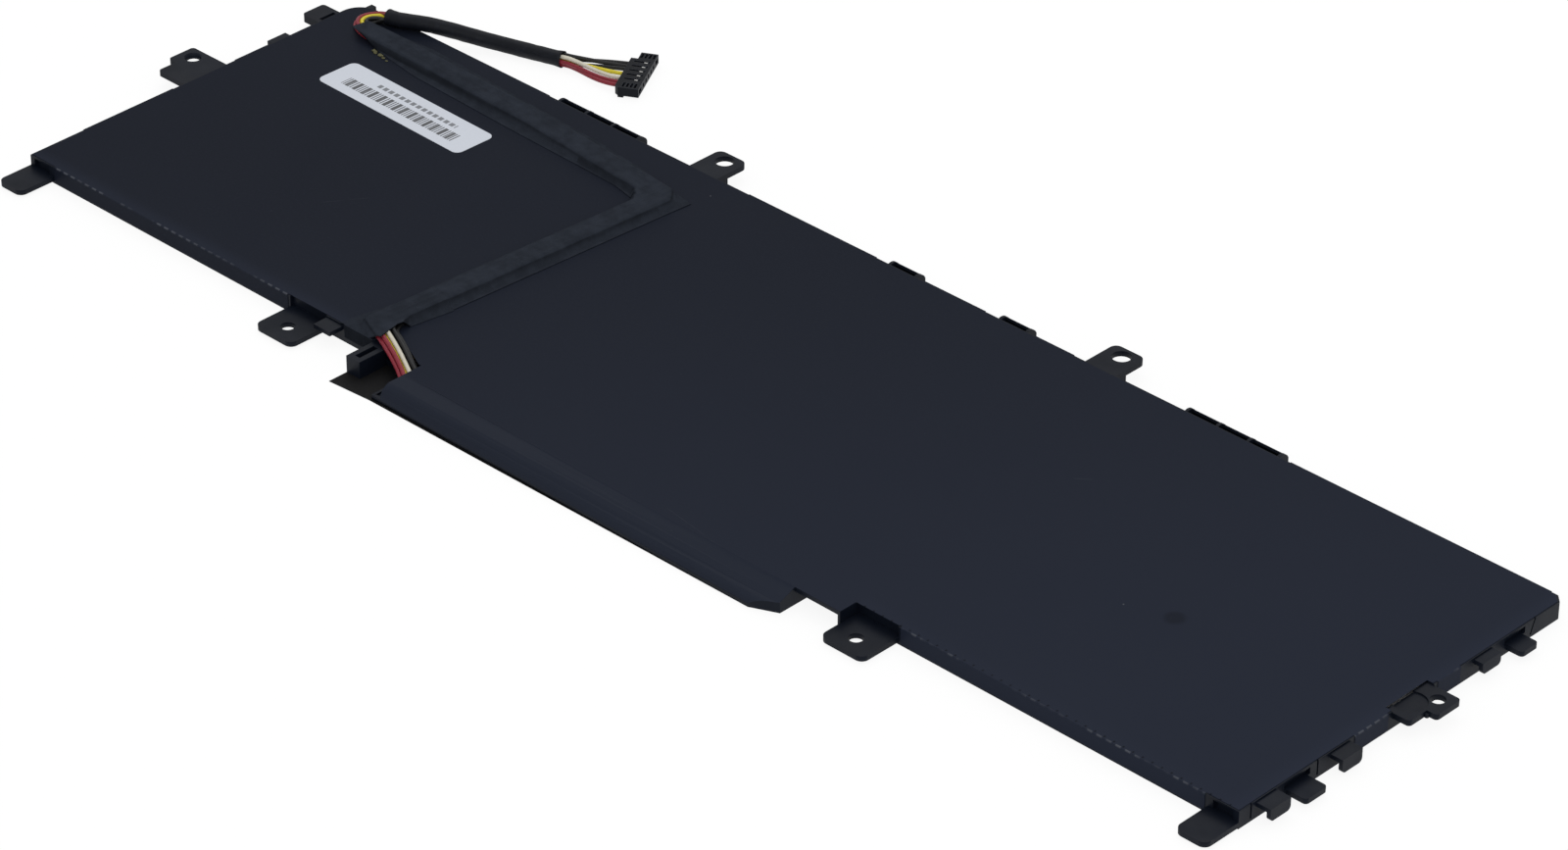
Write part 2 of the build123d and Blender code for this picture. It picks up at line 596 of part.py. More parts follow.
# Top film over the frame, with flaps folded down between the clips, and the bay's cover
FILM_LEVELS = (FRAME_TOP, BODY_HEIGHT)
near_folds = [
    (LEFT_END + CORNER_TONGUE_WIDTH + FLAP_GAP, near_tabs[0][0] - FLAP_GAP),
    (near_tabs[1][1] + FLAP_GAP, RIGHT_END - CORNER_TONGUE_WIDTH - FLAP_GAP),
]
far_folds = [(left(first), left(last)) for first, last in FAR_FLAPS]
far_folds += [(left(LONG_CLIPS[1]) + LONG_CLIP_WIDTH / 2 + LAST_FLAP_GAP, RIGHT_END - LAST_FLAP_GAP)]
right_folds = [(near(first), near(last)) for first, last in RIGHT_FLAPS]
left_folds = [(near(first), near(last)) for first, last in LEFT_FLAPS]
with BuildPart() as top_film:
    with BuildSketch(Plane.XY.offset(FRAME_TOP)) as film_outline:
        Rectangle(BODY_LENGTH - 2 * FILM_INSET, BODY_WIDTH - 2 * FILM_INSET)
        fillet(film_outline.vertices().group_by(Axis.Y)[-1].sort_by(Axis.X)[0], ROUND_CORNER)
        chamfer(film_outline.vertices().group_by(Axis.Y)[-1].sort_by(Axis.X)[-1], CUT_CORNER)
    extrude(amount=FILM)
    add(apron.part)
    rims = [((BAY_RIGHT, SHELF_RIGHT), (near(-SHELF_DEPTH), near(FILM_INSET)))]
    rims += [((BAY_FILM_LEFT, BAY_RIGHT), (near(0), near(FILM_INSET)))]
    rims += [(fold, (near(-FILM), near(FILM_INSET))) for fold in near_folds]
    rims += [(fold, (FAR_EDGE - FILM_INSET, FAR_EDGE + FILM)) for fold in far_folds]
    rims += [((RIGHT_END - FILM_INSET, RIGHT_END + FILM), fold) for fold in right_folds]
    rims += [((LEFT_END - FILM, LEFT_END + FILM_INSET), fold) for fold in left_folds]
    slabs(rims, FILM_LEVELS)
    flaps = [(fold, (near(-FILM), near(0))) for fold in near_folds]
    flaps += [(fold, (FAR_EDGE, FAR_EDGE + FILM)) for fold in far_folds]
    flaps += [((RIGHT_END, RIGHT_END + FILM), fold) for fold in right_folds]
    flaps += [((LEFT_END - FILM, LEFT_END), fold) for fold in left_folds]
    slabs(flaps, (FLAP_FOOT, BODY_HEIGHT))
    notch = (
        (POST_LEFT, near(-WALL)),
        (POST_LEFT, near(NOTCH_DEPTH)),
        (NOTCH_STEP, near(NOTCH_DEPTH)),
        (BAY_FILM_LEFT, near(0)),
        (BAY_FILM_LEFT, near(-WALL)),
    )
    sheet(notch, FILM_LEVELS, Mode.SUBTRACT)
    tab_cut = ((RIGHT_END - END_WALL, RIGHT_END), base_y)
    slabs([tab_cut], FILM_LEVELS, Mode.SUBTRACT)
finish(top_film, "top_film")

with BuildPart() as bottom_film:
    with BuildSketch() as bottom_outline:
        with Locations((0, -FILM_INSET / 2)):
            Rectangle(BODY_LENGTH - 2 * FILM_INSET, BODY_WIDTH - FILM_INSET)
        fillet(bottom_outline.vertices().group_by(Axis.Y)[-1].sort_by(Axis.X)[0], ROUND_CORNER)
        chamfer(bottom_outline.vertices().group_by(Axis.Y)[-1].sort_by(Axis.X)[-1], CUT_CORNER)
    extrude(amount=FILM)
finish(bottom_film, "bottom_film")

with BuildPart() as barrier_paper:
    paper_outline = (
        (POST_LEFT, near(0)),
        (POST_LEFT, near(-PAPER_DEPTH)),
        (BAY_LEFT, near(-BAY_DEPTH - BAY_LIP)),
        (BAY_RIGHT - BAY_CHAMFER, near(-BAY_DEPTH)),
        (BAY_RIGHT, near(-BAY_DEPTH + BAY_CHAMFER_RISE)),
        (BAY_RIGHT, near(0)),
    )
    sheet(paper_outline, (0, FILM))
finish(barrier_paper, "barrier_paper")


# Pouch cells, each on its adhesive pad, with folded side seals and a terrace for the leads
def pouch_cell(centre):
    """One pouch: a rounded body, a thin terrace at the gutter and a folded seal on each side."""
    body = around(centre, CELL_LENGTH - 2 * SIDE_FOLD)
    seal = (CELL_NEAR + CELL_ROUND, CELL_FAR - CELL_ROUND)
    terrace = (CELL_MIDDLE - TERRACE_THICKNESS / 2, CELL_MIDDLE + TERRACE_THICKNESS / 2)
    with BuildPart() as pouch:
        slabs([(body, (CELL_NEAR, CELL_FAR))], (CELL_BOTTOM, CELL_TOP), corner=CELL_ROUND)
        chamfer(pouch.edges().group_by(Axis.Z)[-1], CELL_ROUND / 2)
        terrace_run = around(centre, CELL_LENGTH - 2 * CELL_ROUND)
        slabs([(terrace_run, (TERRACE_NEAR, CELL_NEAR + CELL_ROUND))], terrace)
        folds = [((body[0] - SIDE_FOLD, body[0]), seal), ((body[1], body[1] + SIDE_FOLD), seal)]
        slabs(folds, (CELL_BOTTOM, CELL_MIDDLE + TERRACE_THICKNESS))
    return pouch


for number, x in enumerate(CELL_X):
    finish(pouch_cell(x), f"cell_{number + 1}")
    with BuildPart() as pad:
        slabs([(around(x, PAD_LENGTH), around((CELL_NEAR + CELL_FAR) / 2, PAD_WIDTH))], (FILM, CELL_BOTTOM))
    finish(pad, f"adhesive_pad_{number + 1}")

# Strips that join the cells in series, in two lanes over an insulating strip in the gutter
OUTER_LANE = near(WALL + RECESS_DEPTH + STRIP_GAP / 2)
INNER_LANE = OUTER_LANE + STRIP_WIDTH + STRIP_GAP
STRIP_BOTTOM = FILM + INSULATOR
STRIP_TOP = STRIP_BOTTOM + STRIP_THICKNESS

with BuildPart() as insulating_strip:
    gutter_run = (LEFT_END + END_WALL, RIGHT_END - END_WALL)
    slabs([(gutter_run, (OUTER_LANE, INNER_LANE + STRIP_WIDTH))], (FILM, STRIP_BOTTOM))
finish(insulating_strip, "insulating_strip")


def cell_lead(centre, lane):
    """Flat lead from a cell's terrace down onto the strip in its lane."""
    path = (
        (TERRACE_NEAR, CELL_MIDDLE),
        (GUTTER_FAR, CELL_MIDDLE),
        (INNER_LANE + STRIP_WIDTH, STRIP_TOP),
        (lane, STRIP_TOP),
    )
    with BuildPart() as lead:
        strap(path, around(centre, LEAD_WIDTH), LEAD_THICKNESS)
    return lead


for number in range(CELL_COUNT):
    minus_lane = OUTER_LANE if number == 0 else INNER_LANE
    plus_lane = OUTER_LANE if number == CELL_COUNT - 1 else INNER_LANE
    finish(cell_lead(MINUS_X[number], minus_lane), f"cell_{number + 1}_minus_lead")
    finish(cell_lead(PLUS_X[number], plus_lane), f"cell_{number + 1}_plus_lead")


def bus_strip(x_span, lane, tap):
    """Strip along the gutter, with a tap that steps over the kerb onto the board."""
    path = (
        (near(-BOARD_FAR_EDGE - TAP_REACH), BOARD_TOP),
        (near(WALL), BOARD_TOP),
        (lane, STRIP_BOTTOM),
        (lane + STRIP_WIDTH / 2, STRIP_BOTTOM),
    )
    with BuildPart() as strip:
        slabs([(x_span, (lane, lane + STRIP_WIDTH))], (STRIP_BOTTOM, STRIP_TOP))
        strap(path, (tap, tap + TAP_WIDTH), STRIP_THICKNESS)
    return strip


finish(bus_strip((MINUS_X[0] - HALF_LEAD, MINUS_TAP + TAP_WIDTH), OUTER_LANE, MINUS_TAP), "bus_strip_minus")
finish(bus_strip((PLUS_X[0] - HALF_LEAD, FIRST_TAP + TAP_WIDTH), INNER_LANE, FIRST_TAP), "bus_strip_1")
finish(bus_strip((PLUS_X[1] - HALF_LEAD, MINUS_X[2] + HALF_LEAD), INNER_LANE, MIDDLE_TAP), "bus_strip_2")
finish(bus_strip((LAST_TAP, MINUS_X[3] + HALF_LEAD), INNER_LANE, LAST_TAP), "bus_strip_3")
finish(bus_strip((PLUS_TAP, PLUS_X[3] + HALF_LEAD), OUTER_LANE, PLUS_TAP), "bus_strip_plus")

# Protection board with its components
BOARD_NEAR = near(-BAY_DEPTH + BAY_LIP + BOARD_GAP)
BOARD_FAR = near(-BOARD_FAR_EDGE)
BOARD_MIDDLE = (BOARD_NEAR + BOARD_FAR) / 2
with BuildPart() as board:
    slabs([((BOARD_LEFT, BOARD_RIGHT), (BOARD_NEAR, BOARD_FAR))], (BAY_FLOOR_TOP, BOARD_TOP))
finish(board, "protection_board")


def component(label, x, size, count=1, pitch=0.0):
    """Row of equal components on the board's middle line, at X from its left edge, each of one size."""
    length, width, height = size
    middles = [BOARD_LEFT + x + number * pitch for number in range(count)]
    spans = [(around(middle, length), around(BOARD_MIDDLE, width)) for middle in middles]
    with BuildPart() as row:
        slabs(spans, (BOARD_TOP, BOARD_TOP + height))
    finish(row, label)


component("gauge_chip", GAUGE_X, (GAUGE_SIDE, GAUGE_SIDE, CHIP_HEIGHT))
component("protection_chip", GUARD_X, (GUARD_SIDE, GUARD_SIDE, CHIP_HEIGHT))
switch_pitch = SWITCH_SIDE + STRIP_GAP
component("switch_transistors", SWITCH_X, (SWITCH_SIDE, SWITCH_SIDE, CHIP_HEIGHT), 2, switch_pitch)
component("shunt_resistor", SHUNT_X, (SHUNT_LENGTH, SHUNT_WIDTH, SHUNT_HEIGHT))
component("fuse", FUSE_X, (FUSE_LENGTH, FUSE_WIDTH, CHIP_HEIGHT))
capacitor_size = (CAPACITOR_LENGTH, CAPACITOR_WIDTH, CAPACITOR_HEIGHT)
component("capacitors", CAPACITOR_X, capacitor_size, CAPACITOR_COUNT, CAPACITOR_PITCH)

with BuildPart() as thermistor:
    sensor_path = (
        (near(-BOARD_FAR_EDGE - TAP_REACH), BOARD_TOP),
        (near(WALL), BOARD_TOP),
        (CELL_NEAR, CELL_TOP),
        (CELL_NEAR + THERMISTOR_LENGTH, CELL_TOP),
    )
    strap(sensor_path, around(BOARD_LEFT + THERMISTOR_X, THERMISTOR_WIDTH), STRIP_THICKNESS)
finish(thermistor, "thermistor")


# Harness route: for each point its X, Y and height, and the layout or the twist of the bundle there
def resting(layout):
    """Height of the bundle's middle where its lower wires rest on the top film."""
    return BODY_HEIGHT + WIRE_REST + WIRE / 2 + layout[1] / 2


SLEEVE_RADIUS = SLEEVE_BORE / 2 + SLEEVE_WALL
SLEEVE_ON_FILM = BODY_HEIGHT + SLEEVE_RADIUS + WIRE_REST
SLEEVE_ON_TABLE = SLEEVE_RADIUS + WIRE_REST
SOLDERED_HEIGHT = BOARD_TOP + WIRE_REST + WIRE / 2
PLUG_FORWARD = Vector(cos(radians(PLUG_ANGLE)), sin(radians(PLUG_ANGLE)))
PLUG_SPOT = Vector(left(PLUG_CENTRE[0]), FAR_EDGE + PLUG_CENTRE[1])
PLUG_BACK = PLUG_SPOT - PLUG_FORWARD * PLUG_DEPTH / 2
PLUG_MEETING = PLUG_BACK - PLUG_FORWARD * PLUG_APPROACH
AT_PLUG = "plug"
ROUTE = (
    (BOARD_LEFT + WIRE_END, near(-5.1), SOLDERED_HEIGHT, SOLDERED),
    (BOARD_LEFT - 1.5, near(-5.1), SOLDERED_HEIGHT, SOLDERED),
    (BAY_LEFT + 2.2, near(-2.3), BODY_HEIGHT - 1.1, AT_NOTCH),
    (BAY_LEFT - 5.8, near(1.2), resting(AT_BEND) + 0.1, AT_BEND),
    (BAY_LEFT - 13.4, near(4.4), resting(AT_BEND), AT_BEND),
    (BAY_LEFT - 12.4, near(19.0), resting(UNDER_TAPE), UNDER_TAPE),
    (BAY_LEFT - 8.4, FAR_EDGE - 13.8, resting(UNDER_TAPE), UNDER_TAPE),
    (left(63.5), FAR_EDGE - 10.3, resting(UNDER_TAPE), UNDER_TAPE),
    (left(18.0), FAR_EDGE - 8.7, resting(UNDER_TAPE), UNDER_TAPE),
    (left(8.4), FAR_EDGE - 8.9, resting(AT_BEND), AT_BEND),
    (left(6.7), FAR_EDGE - 5.9, resting(AT_BEND), AT_BEND),
    (left(8.4), FAR_EDGE - 3.0, resting(AT_BEND), AT_BEND),
    (left(10.9), FAR_EDGE - 2.6, SLEEVE_ON_FILM, 0),
    (left(14.2), FAR_EDGE - 2.0, SLEEVE_ON_FILM, -40),
    (left(20.7), FAR_EDGE + 1.7, SLEEVE_ON_FILM, -80),
    (left(28.6), FAR_EDGE + 9.8, SLEEVE_ON_TABLE, -120),
    (left(46.0), FAR_EDGE + 15.3, SLEEVE_ON_TABLE, -120),
    (PLUG_MEETING.X, PLUG_MEETING.Y, (PLUG_HEIGHT + PLUG_FOOT) / 2, AT_PLUG),
    (PLUG_BACK.X, PLUG_BACK.Y, (PLUG_HEIGHT + PLUG_FOOT) / 2, AT_PLUG),
)
TAPE_START = 3
TAPE_CORNER_POINT = 6
TAPE_END = 9
SLEEVE_START = 12
SLEEVE_END = 16


def lane_offset(lane, layout):
    """Place of a wire in the bundle, to the right of its middle and above it."""
    if layout == AT_PLUG:
        return (PLUG_PLACES[lane], 0.0)
    if isinstance(layout, tuple):
        pitch, rise = layout
        middle = (len(WIRE_NAMES) - 1) / 2
        return ((lane - middle) * pitch, rise * (lane % 2 - 0.5))
    if BUNDLE_ANGLES[lane] is None:
        return (0.0, 0.0)
    angle = radians(BUNDLE_ANGLES[lane] + layout)
    return (BUNDLE_PITCH * cos(angle), BUNDLE_PITCH * sin(angle))


def mitred(middles, offsets):
    """Points set off to the right of a route by an amount for each, with mitred corners."""
    headings = [(end - start).normalized() for start, end in zip(middles, middles[1:])]
    headings = [headings[0]] + headings + [headings[-1]]
    points = []
    for number, (middle, across) in enumerate(zip(middles, offsets)):
        forward = (headings[number] + headings[number + 1]).normalized()
        reach = across / forward.dot(headings[number])
        points.append(Vector(middle.X + forward.Y * reach, middle.Y - forward.X * reach))
    return points


MIDDLES = [Vector(x, y) for x, y, height, layout in ROUTE]


def lane_points(lane):
    """Points of one wire along the route."""
    places = [lane_offset(lane, layout) for x, y, height, layout in ROUTE]
    plan = mitred(MIDDLES, [across for across, up in places])
    return [Vector(spot.X, spot.Y, point[2] + up) for spot, point, (across, up) in zip(plan, ROUTE, places)]


def corner_radii(points, fixed, short=()):
    """Radius for each corner, as large as its two runs allow, unless it is short or held to a fixed one."""
    radii = []
    for number in range(1, len(points) - 1):
        before = points[number] - points[number - 1]
        after = points[number + 1] - points[number]
        shorter = min(before.length, after.length)
        share = SHORT_ARC_SHARE if number in short else ARC_SHARE
        largest = share * shorter / tan(radians(before.get_angle(after) / 2))
        radii.append(fixed.get(number, min(largest, LONGEST_RADIUS)))
    return radii


def wire_tube(points, radii):
    """Insulated wire with a faceted skin, along straight runs joined by tangent arcs."""
    with BuildPart() as piece:
        with BuildLine() as path:
            FilletPolyline(*points, radius=radii)
        run = path.wire()
        with BuildSketch(Plane(run @ 0, z_dir=run % 0)) as section:
            RegularPolygon(WIRE / 2, WIRE_SIDES)
        sweep(path=run)
    return piece, piece.part.volume / section.sketch.area / run.length, run.length


for lane, name in enumerate(WIRE_NAMES):
    points = lane_points(lane)
    side = lane_offset(lane, UNDER_TAPE)[0]
    radii = corner_radii(points, {TAPE_CORNER_POINT: TAPE_CORNER + side}, (SLEEVE_START, SLEEVE_END))
    wire, ratio, length = wire_tube(points, radii)
    print(name, "length", round(length, 1), "volume over section times length", round(ratio, 4))
    print("  radii", [round(radius, 1) for radius in radii])
    finish(wire, f"wire_{name}")

sleeve_points = [Vector(*point[:3]) for point in ROUTE[SLEEVE_START : SLEEVE_END + 1]]
sleeve_radii = corner_radii(sleeve_points, {})
for end, inner in ((0, 1), (-1, -2)):
    sleeve_points[end] = sleeve_points[end] + (sleeve_points[inner] - sleeve_points[end]).normalized() * WIRE
with BuildPart() as sleeve:
    with BuildLine() as sleeve_path:
        FilletPolyline(*sleeve_points, radius=sleeve_radii)
    sleeve_run = sleeve_path.wire()
    with BuildSketch(Plane(sleeve_run @ 0, z_dir=sleeve_run % 0)):
        RegularPolygon(SLEEVE_RADIUS, SLEEVE_SIDES)
        RegularPolygon(SLEEVE_BORE / 2, SLEEVE_SIDES, mode=Mode.SUBTRACT)
    sweep(path=sleeve_run)
print("sleeve length", round(sleeve_run.length, 1), "radii", [round(radius, 1) for radius in sleeve_radii])
finish(sleeve, "wire_sleeve")

with BuildPart() as solder:
    start_x = ROUTE[0][0]
    solder_y = [lane_points(lane)[0].Y for lane in range(len(WIRE_NAMES))]
    joints = [((start_x, start_x + SOLDER), around(y, SOLDER)) for y in solder_y]
    slabs(joints, (BOARD_TOP, BOARD_TOP + WIRE))
finish(solder, "solder_joints")

# Cloth tape: one raised band follows the wires, and each piece is its own outline on the film
BAND_HALF = (len(WIRE_NAMES) - 1) / 2 * UNDER_TAPE[0] + WIRE / 2 + BAND_SLACK
BAND_INSIDE = WIRE_REST + WIRE + AT_BEND[1] + TAPE_CLEARANCE


def wire_band(half, height):
    """Raised band over the taped wires, with sloping sides and bevelled corners."""
    middles = MIDDLES[TAPE_START : TAPE_END + 1]
    middles[0] = middles[0] + (middles[0] - middles[1])
    middles[-1] = middles[-1] + (middles[-1] - middles[-2])
    right = mitred(middles, [half] * len(middles))
    left_side = mitred(middles, [-half] * len(middles))
    corner = TAPE_CORNER_POINT - TAPE_START
    with BuildPart() as band:
        with BuildSketch(Plane.XY.offset(BODY_HEIGHT)) as base:
            with BuildLine():
                Polyline(*right, *reversed(left_side), close=True)
            make_face()
            bevels = ((left_side[corner], BAND_BEVEL), (right[1], BAND_BEVEL), (right[corner], BAND_CORNER))
            for spot, bevel in bevels:
                chamfer(base.vertices().sort_by_distance((spot.X, spot.Y, BODY_HEIGHT))[0], bevel)
        extrude(amount=height, taper=BAND_SLOPE)
    return band


band_outside = wire_band(BAND_HALF + TAPE / cos(radians(BAND_SLOPE)), BAND_INSIDE + TAPE)
band_inside = wire_band(BAND_HALF, BAND_INSIDE)


def tape_piece(label, outline, wrap=None):
    """One piece of tape: flat on the film at its border and raised over the wires."""
    points = [(along(x), beside(y)) for x, y in outline]
    with BuildPart() as raised:
        sheet(points, (BODY_HEIGHT, BODY_HEIGHT + BAND_INSIDE + TAPE))
        add(band_outside.part, mode=Mode.INTERSECT)
    with BuildPart() as piece:
        sheet(points, (BODY_HEIGHT, BODY_HEIGHT + TAPE))
        add(raised.part)
        add(band_inside.part, mode=Mode.SUBTRACT)
        if wrap:
            wrap_run = (along(wrap[0]), along(wrap[1]))
            slabs([(wrap_run, (near(-TAPE), near(0)))], (wrap[2], BODY_HEIGHT + TAPE))
    finish(piece, label)


END_STRIP = (
    (9.1, -10.7), (31.8, -14.1), (63.2, -15.5), (81.2, -16.0),
    (81.2, -6.7), (26.8, -3.6), (10.0, -5.0),
)
MIDDLE_STRIP = ((81.2, -16.0), (-19.5, -16.5), (-19.5, -8.1), (81.2, -6.9))
CORNER_PATCH = ((-19.5, -16.5), (-19.5, -8.2), (-8.4, -10.2), (-3.5, -11.0), (-4.1, -17.9), (-13.1, -17.9))
CROSS_STRIP = ((-17.2, 20.5), (-7.8, 18.5), (-4.1, -17.9), (-13.1, -17.9))
NOTCH_PATCH = ((-20.1, 0.0), (-15.9, 20.2), (-7.5, 18.4), (-9.7, 5.5), (-8.6, 0.0))
NOTCH_WRAP = (-18.8, -10.8, 1.2)
tape_piece("tape_end_strip", END_STRIP)
tape_piece("tape_middle_strip", MIDDLE_STRIP)
tape_piece("tape_corner", CORNER_PATCH)
tape_piece("tape_cross_strip", CROSS_STRIP)
tape_piece("tape_notch_patch", NOTCH_PATCH, NOTCH_WRAP)

# Label
with BuildPart() as label:
    with BuildSketch(Plane.XY.offset(BODY_HEIGHT)):
        with Locations(Location((left(LABEL_CENTRE[0]), beside(LABEL_CENTRE[1]), 0), LABEL_TURN)):
            RectangleRounded(LABEL_LENGTH, LABEL_WIDTH, LABEL_ROUND)
    extrude(amount=LABEL_THICKNESS)
finish(label, "label")

# Plug: slots over five narrow contacts, four slots over each wide one, and sockets in its front
PLUG_PLANE = Plane(
    origin=(PLUG_SPOT.X, PLUG_SPOT.Y, 0),
    x_dir=(PLUG_FORWARD.Y, -PLUG_FORWARD.X, 0),
    z_dir=(0, 0, 1),
)
contact_shift = (SLOT_LENGTH + CONTACT_LENGTH) / 2
with BuildPart() as plug:
    with BuildSketch(PLUG_PLANE.offset(PLUG_FOOT)) as plug_outline:
        with Locations((PLUG_EAR_LENGTH / 2, 0)):
            Rectangle(PLUG_LENGTH - PLUG_EAR_LENGTH, PLUG_DEPTH)
        with Locations((0, PLUG_EAR_SETBACK / 2)):
            Rectangle(PLUG_LENGTH, PLUG_DEPTH - PLUG_EAR_SETBACK)
        chamfer(plug_outline.vertices().sort_by_distance((PLUG_LENGTH / 2, -PLUG_DEPTH / 2))[0], PLUG_CUT)
    extrude(amount=PLUG_HEIGHT - PLUG_FOOT)
    foot_y = (PLUG_FOOT_SIZE[1] - PLUG_DEPTH) / 2 + PLUG_CUT
    with BuildSketch(PLUG_PLANE):
        with Locations(((PLUG_LENGTH - PLUG_FOOT_SIZE[0]) / 2, foot_y)):
            Rectangle(*PLUG_FOOT_SIZE)
        with Locations(((PLUG_FOOT_SIZE[0] - PLUG_LENGTH) / 2 + PLUG_EAR_LENGTH, foot_y)):
            Rectangle(*PLUG_FOOT_SIZE)
    extrude(amount=PLUG_FOOT)
    with BuildSketch(PLUG_PLANE.offset(PLUG_HEIGHT)) as slots:
        with Locations((0, -SLOT_WIDTH)):
            with GridLocations(CONTACT_PITCH, 0, CONTACT_COUNT, 1):
                Rectangle(SLOT_WIDTH, SLOT_LENGTH)
        with Locations((0, contact_shift - SLOT_WIDTH)):
            with GridLocations(CONTACT_PITCH, 0, CONTACT_COUNT, 1):
                Rectangle(CONTACT_WIDTH, CONTACT_LENGTH)
        for side, setback in ((BLADE_OFFSET, PLUG_CUT), (-BLADE_OFFSET, PLUG_EAR_SETBACK)):
            with Locations((side, setback / 2)):
                with GridLocations(0, BLADE_SLOT_PITCH, 1, BLADE_SLOT_COUNT):
                    Rectangle(BLADE_SLOT_LENGTH, SLOT_WIDTH)
    extrude(amount=-SLOT_DEPTH, mode=Mode.SUBTRACT)
    with BuildSketch(PLUG_PLANE.offset(PLUG_HEIGHT)):
        with Locations((0, PLUG_DEPTH / 2 - GUIDE_SETBACK)):
            with GridLocations(CONTACT_PITCH, 0, CONTACT_COUNT, 1):
                Rectangle(*GUIDE_SIZE)
    extrude(amount=-GUIDE_DEPTH, mode=Mode.SUBTRACT)
    front = Plane(
        origin=PLUG_PLANE.from_local_coords((0, PLUG_DEPTH / 2, (PLUG_HEIGHT + PLUG_FOOT) / 2)),
        x_dir=PLUG_PLANE.x_dir,
        z_dir=PLUG_PLANE.y_dir,
    )
    with BuildSketch(front) as sockets:
        with GridLocations(CONTACT_PITCH, 0, CONTACT_COUNT, 1):
            Rectangle(SOCKET_WIDTH, SOCKET_HEIGHT)
        with GridLocations(2 * BLADE_OFFSET, 0, 2, 1):
            Rectangle(BLADE_SLOT_LENGTH, SOCKET_HEIGHT)
    extrude(amount=-SOCKET_DEPTH, mode=Mode.SUBTRACT)
finish(plug, "plug_housing")

with BuildPart() as contacts:
    with BuildSketch(PLUG_PLANE.offset(PLUG_HEIGHT - SLOT_DEPTH)):
        with Locations((0, contact_shift - SLOT_WIDTH)):
            with GridLocations(CONTACT_PITCH, 0, CONTACT_COUNT, 1):
                Rectangle(CONTACT_WIDTH, CONTACT_LENGTH)
    extrude(amount=CONTACT_THICKNESS)
finish(contacts, "plug_contacts")
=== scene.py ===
import json
import math

import bmesh
import bpy
from mathutils import Matrix, Vector, noise


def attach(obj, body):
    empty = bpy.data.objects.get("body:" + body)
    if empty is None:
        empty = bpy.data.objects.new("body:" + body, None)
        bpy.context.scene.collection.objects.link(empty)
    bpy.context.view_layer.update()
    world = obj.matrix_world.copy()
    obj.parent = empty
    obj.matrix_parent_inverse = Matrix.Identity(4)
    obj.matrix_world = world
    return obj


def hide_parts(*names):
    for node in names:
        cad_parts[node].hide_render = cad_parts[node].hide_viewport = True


bl_info = {
    "name": "Laptop battery pack",
    "version": (1, 0, 0),
    "blender": (4, 5, 0),
    "location": "3D View > Sidebar > Battery",
    "description": "Dresses a thin laptop battery pack: films, frame, taped wire harness, label and plug",
    "category": "Object",
}

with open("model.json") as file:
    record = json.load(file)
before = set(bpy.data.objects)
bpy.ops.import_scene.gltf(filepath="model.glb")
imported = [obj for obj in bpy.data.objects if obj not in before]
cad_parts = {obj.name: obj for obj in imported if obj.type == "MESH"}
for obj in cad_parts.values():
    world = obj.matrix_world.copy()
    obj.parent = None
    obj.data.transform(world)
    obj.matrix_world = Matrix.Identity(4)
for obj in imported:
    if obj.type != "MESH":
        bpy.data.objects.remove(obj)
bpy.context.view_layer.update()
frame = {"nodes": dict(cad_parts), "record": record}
NODES = frame["nodes"]
SLOT_OF = {part["node"]: part["material_slot"] for part in frame["record"]["subparts"]}

LEFT_END, RIGHT_END = -0.160, 0.160
NEAR_EDGE, FAR_EDGE = -0.0452, 0.0452
FILM_TOP = 0.0039
BAY_LEFT, BAY_RIGHT = -0.047025, 0.058625
FLOOR_LEVEL = -0.00005
FLOOR_REACH = 6.0
AIM = (0.018606, -0.010575, 0.003)

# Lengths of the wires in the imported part, and their places in the round bundle and at the plug
LENGTHS = {
    "red_1": 0.2638,
    "red_2": 0.2628,
    "yellow": 0.2541,
    "white": 0.2565,
    "black_1": 0.2578,
    "black_2": 0.2543,
    "black_3": 0.2519,
}
BUNDLE_ANGLES = {"red_1": 120, "red_2": 60, "black_3": 0, "black_2": 300, "black_1": 240, "white": 180}
BUNDLE_PITCH = 0.00105
PLUG_PLACES = {
    "red_1": 0.0039,
    "red_2": 0.0052,
    "white": 0.0022,
    "yellow": 0.0003,
    "black_1": -0.0029,
    "black_2": -0.0041,
    "black_3": -0.0017,
}
AT_PLUG = "plug"
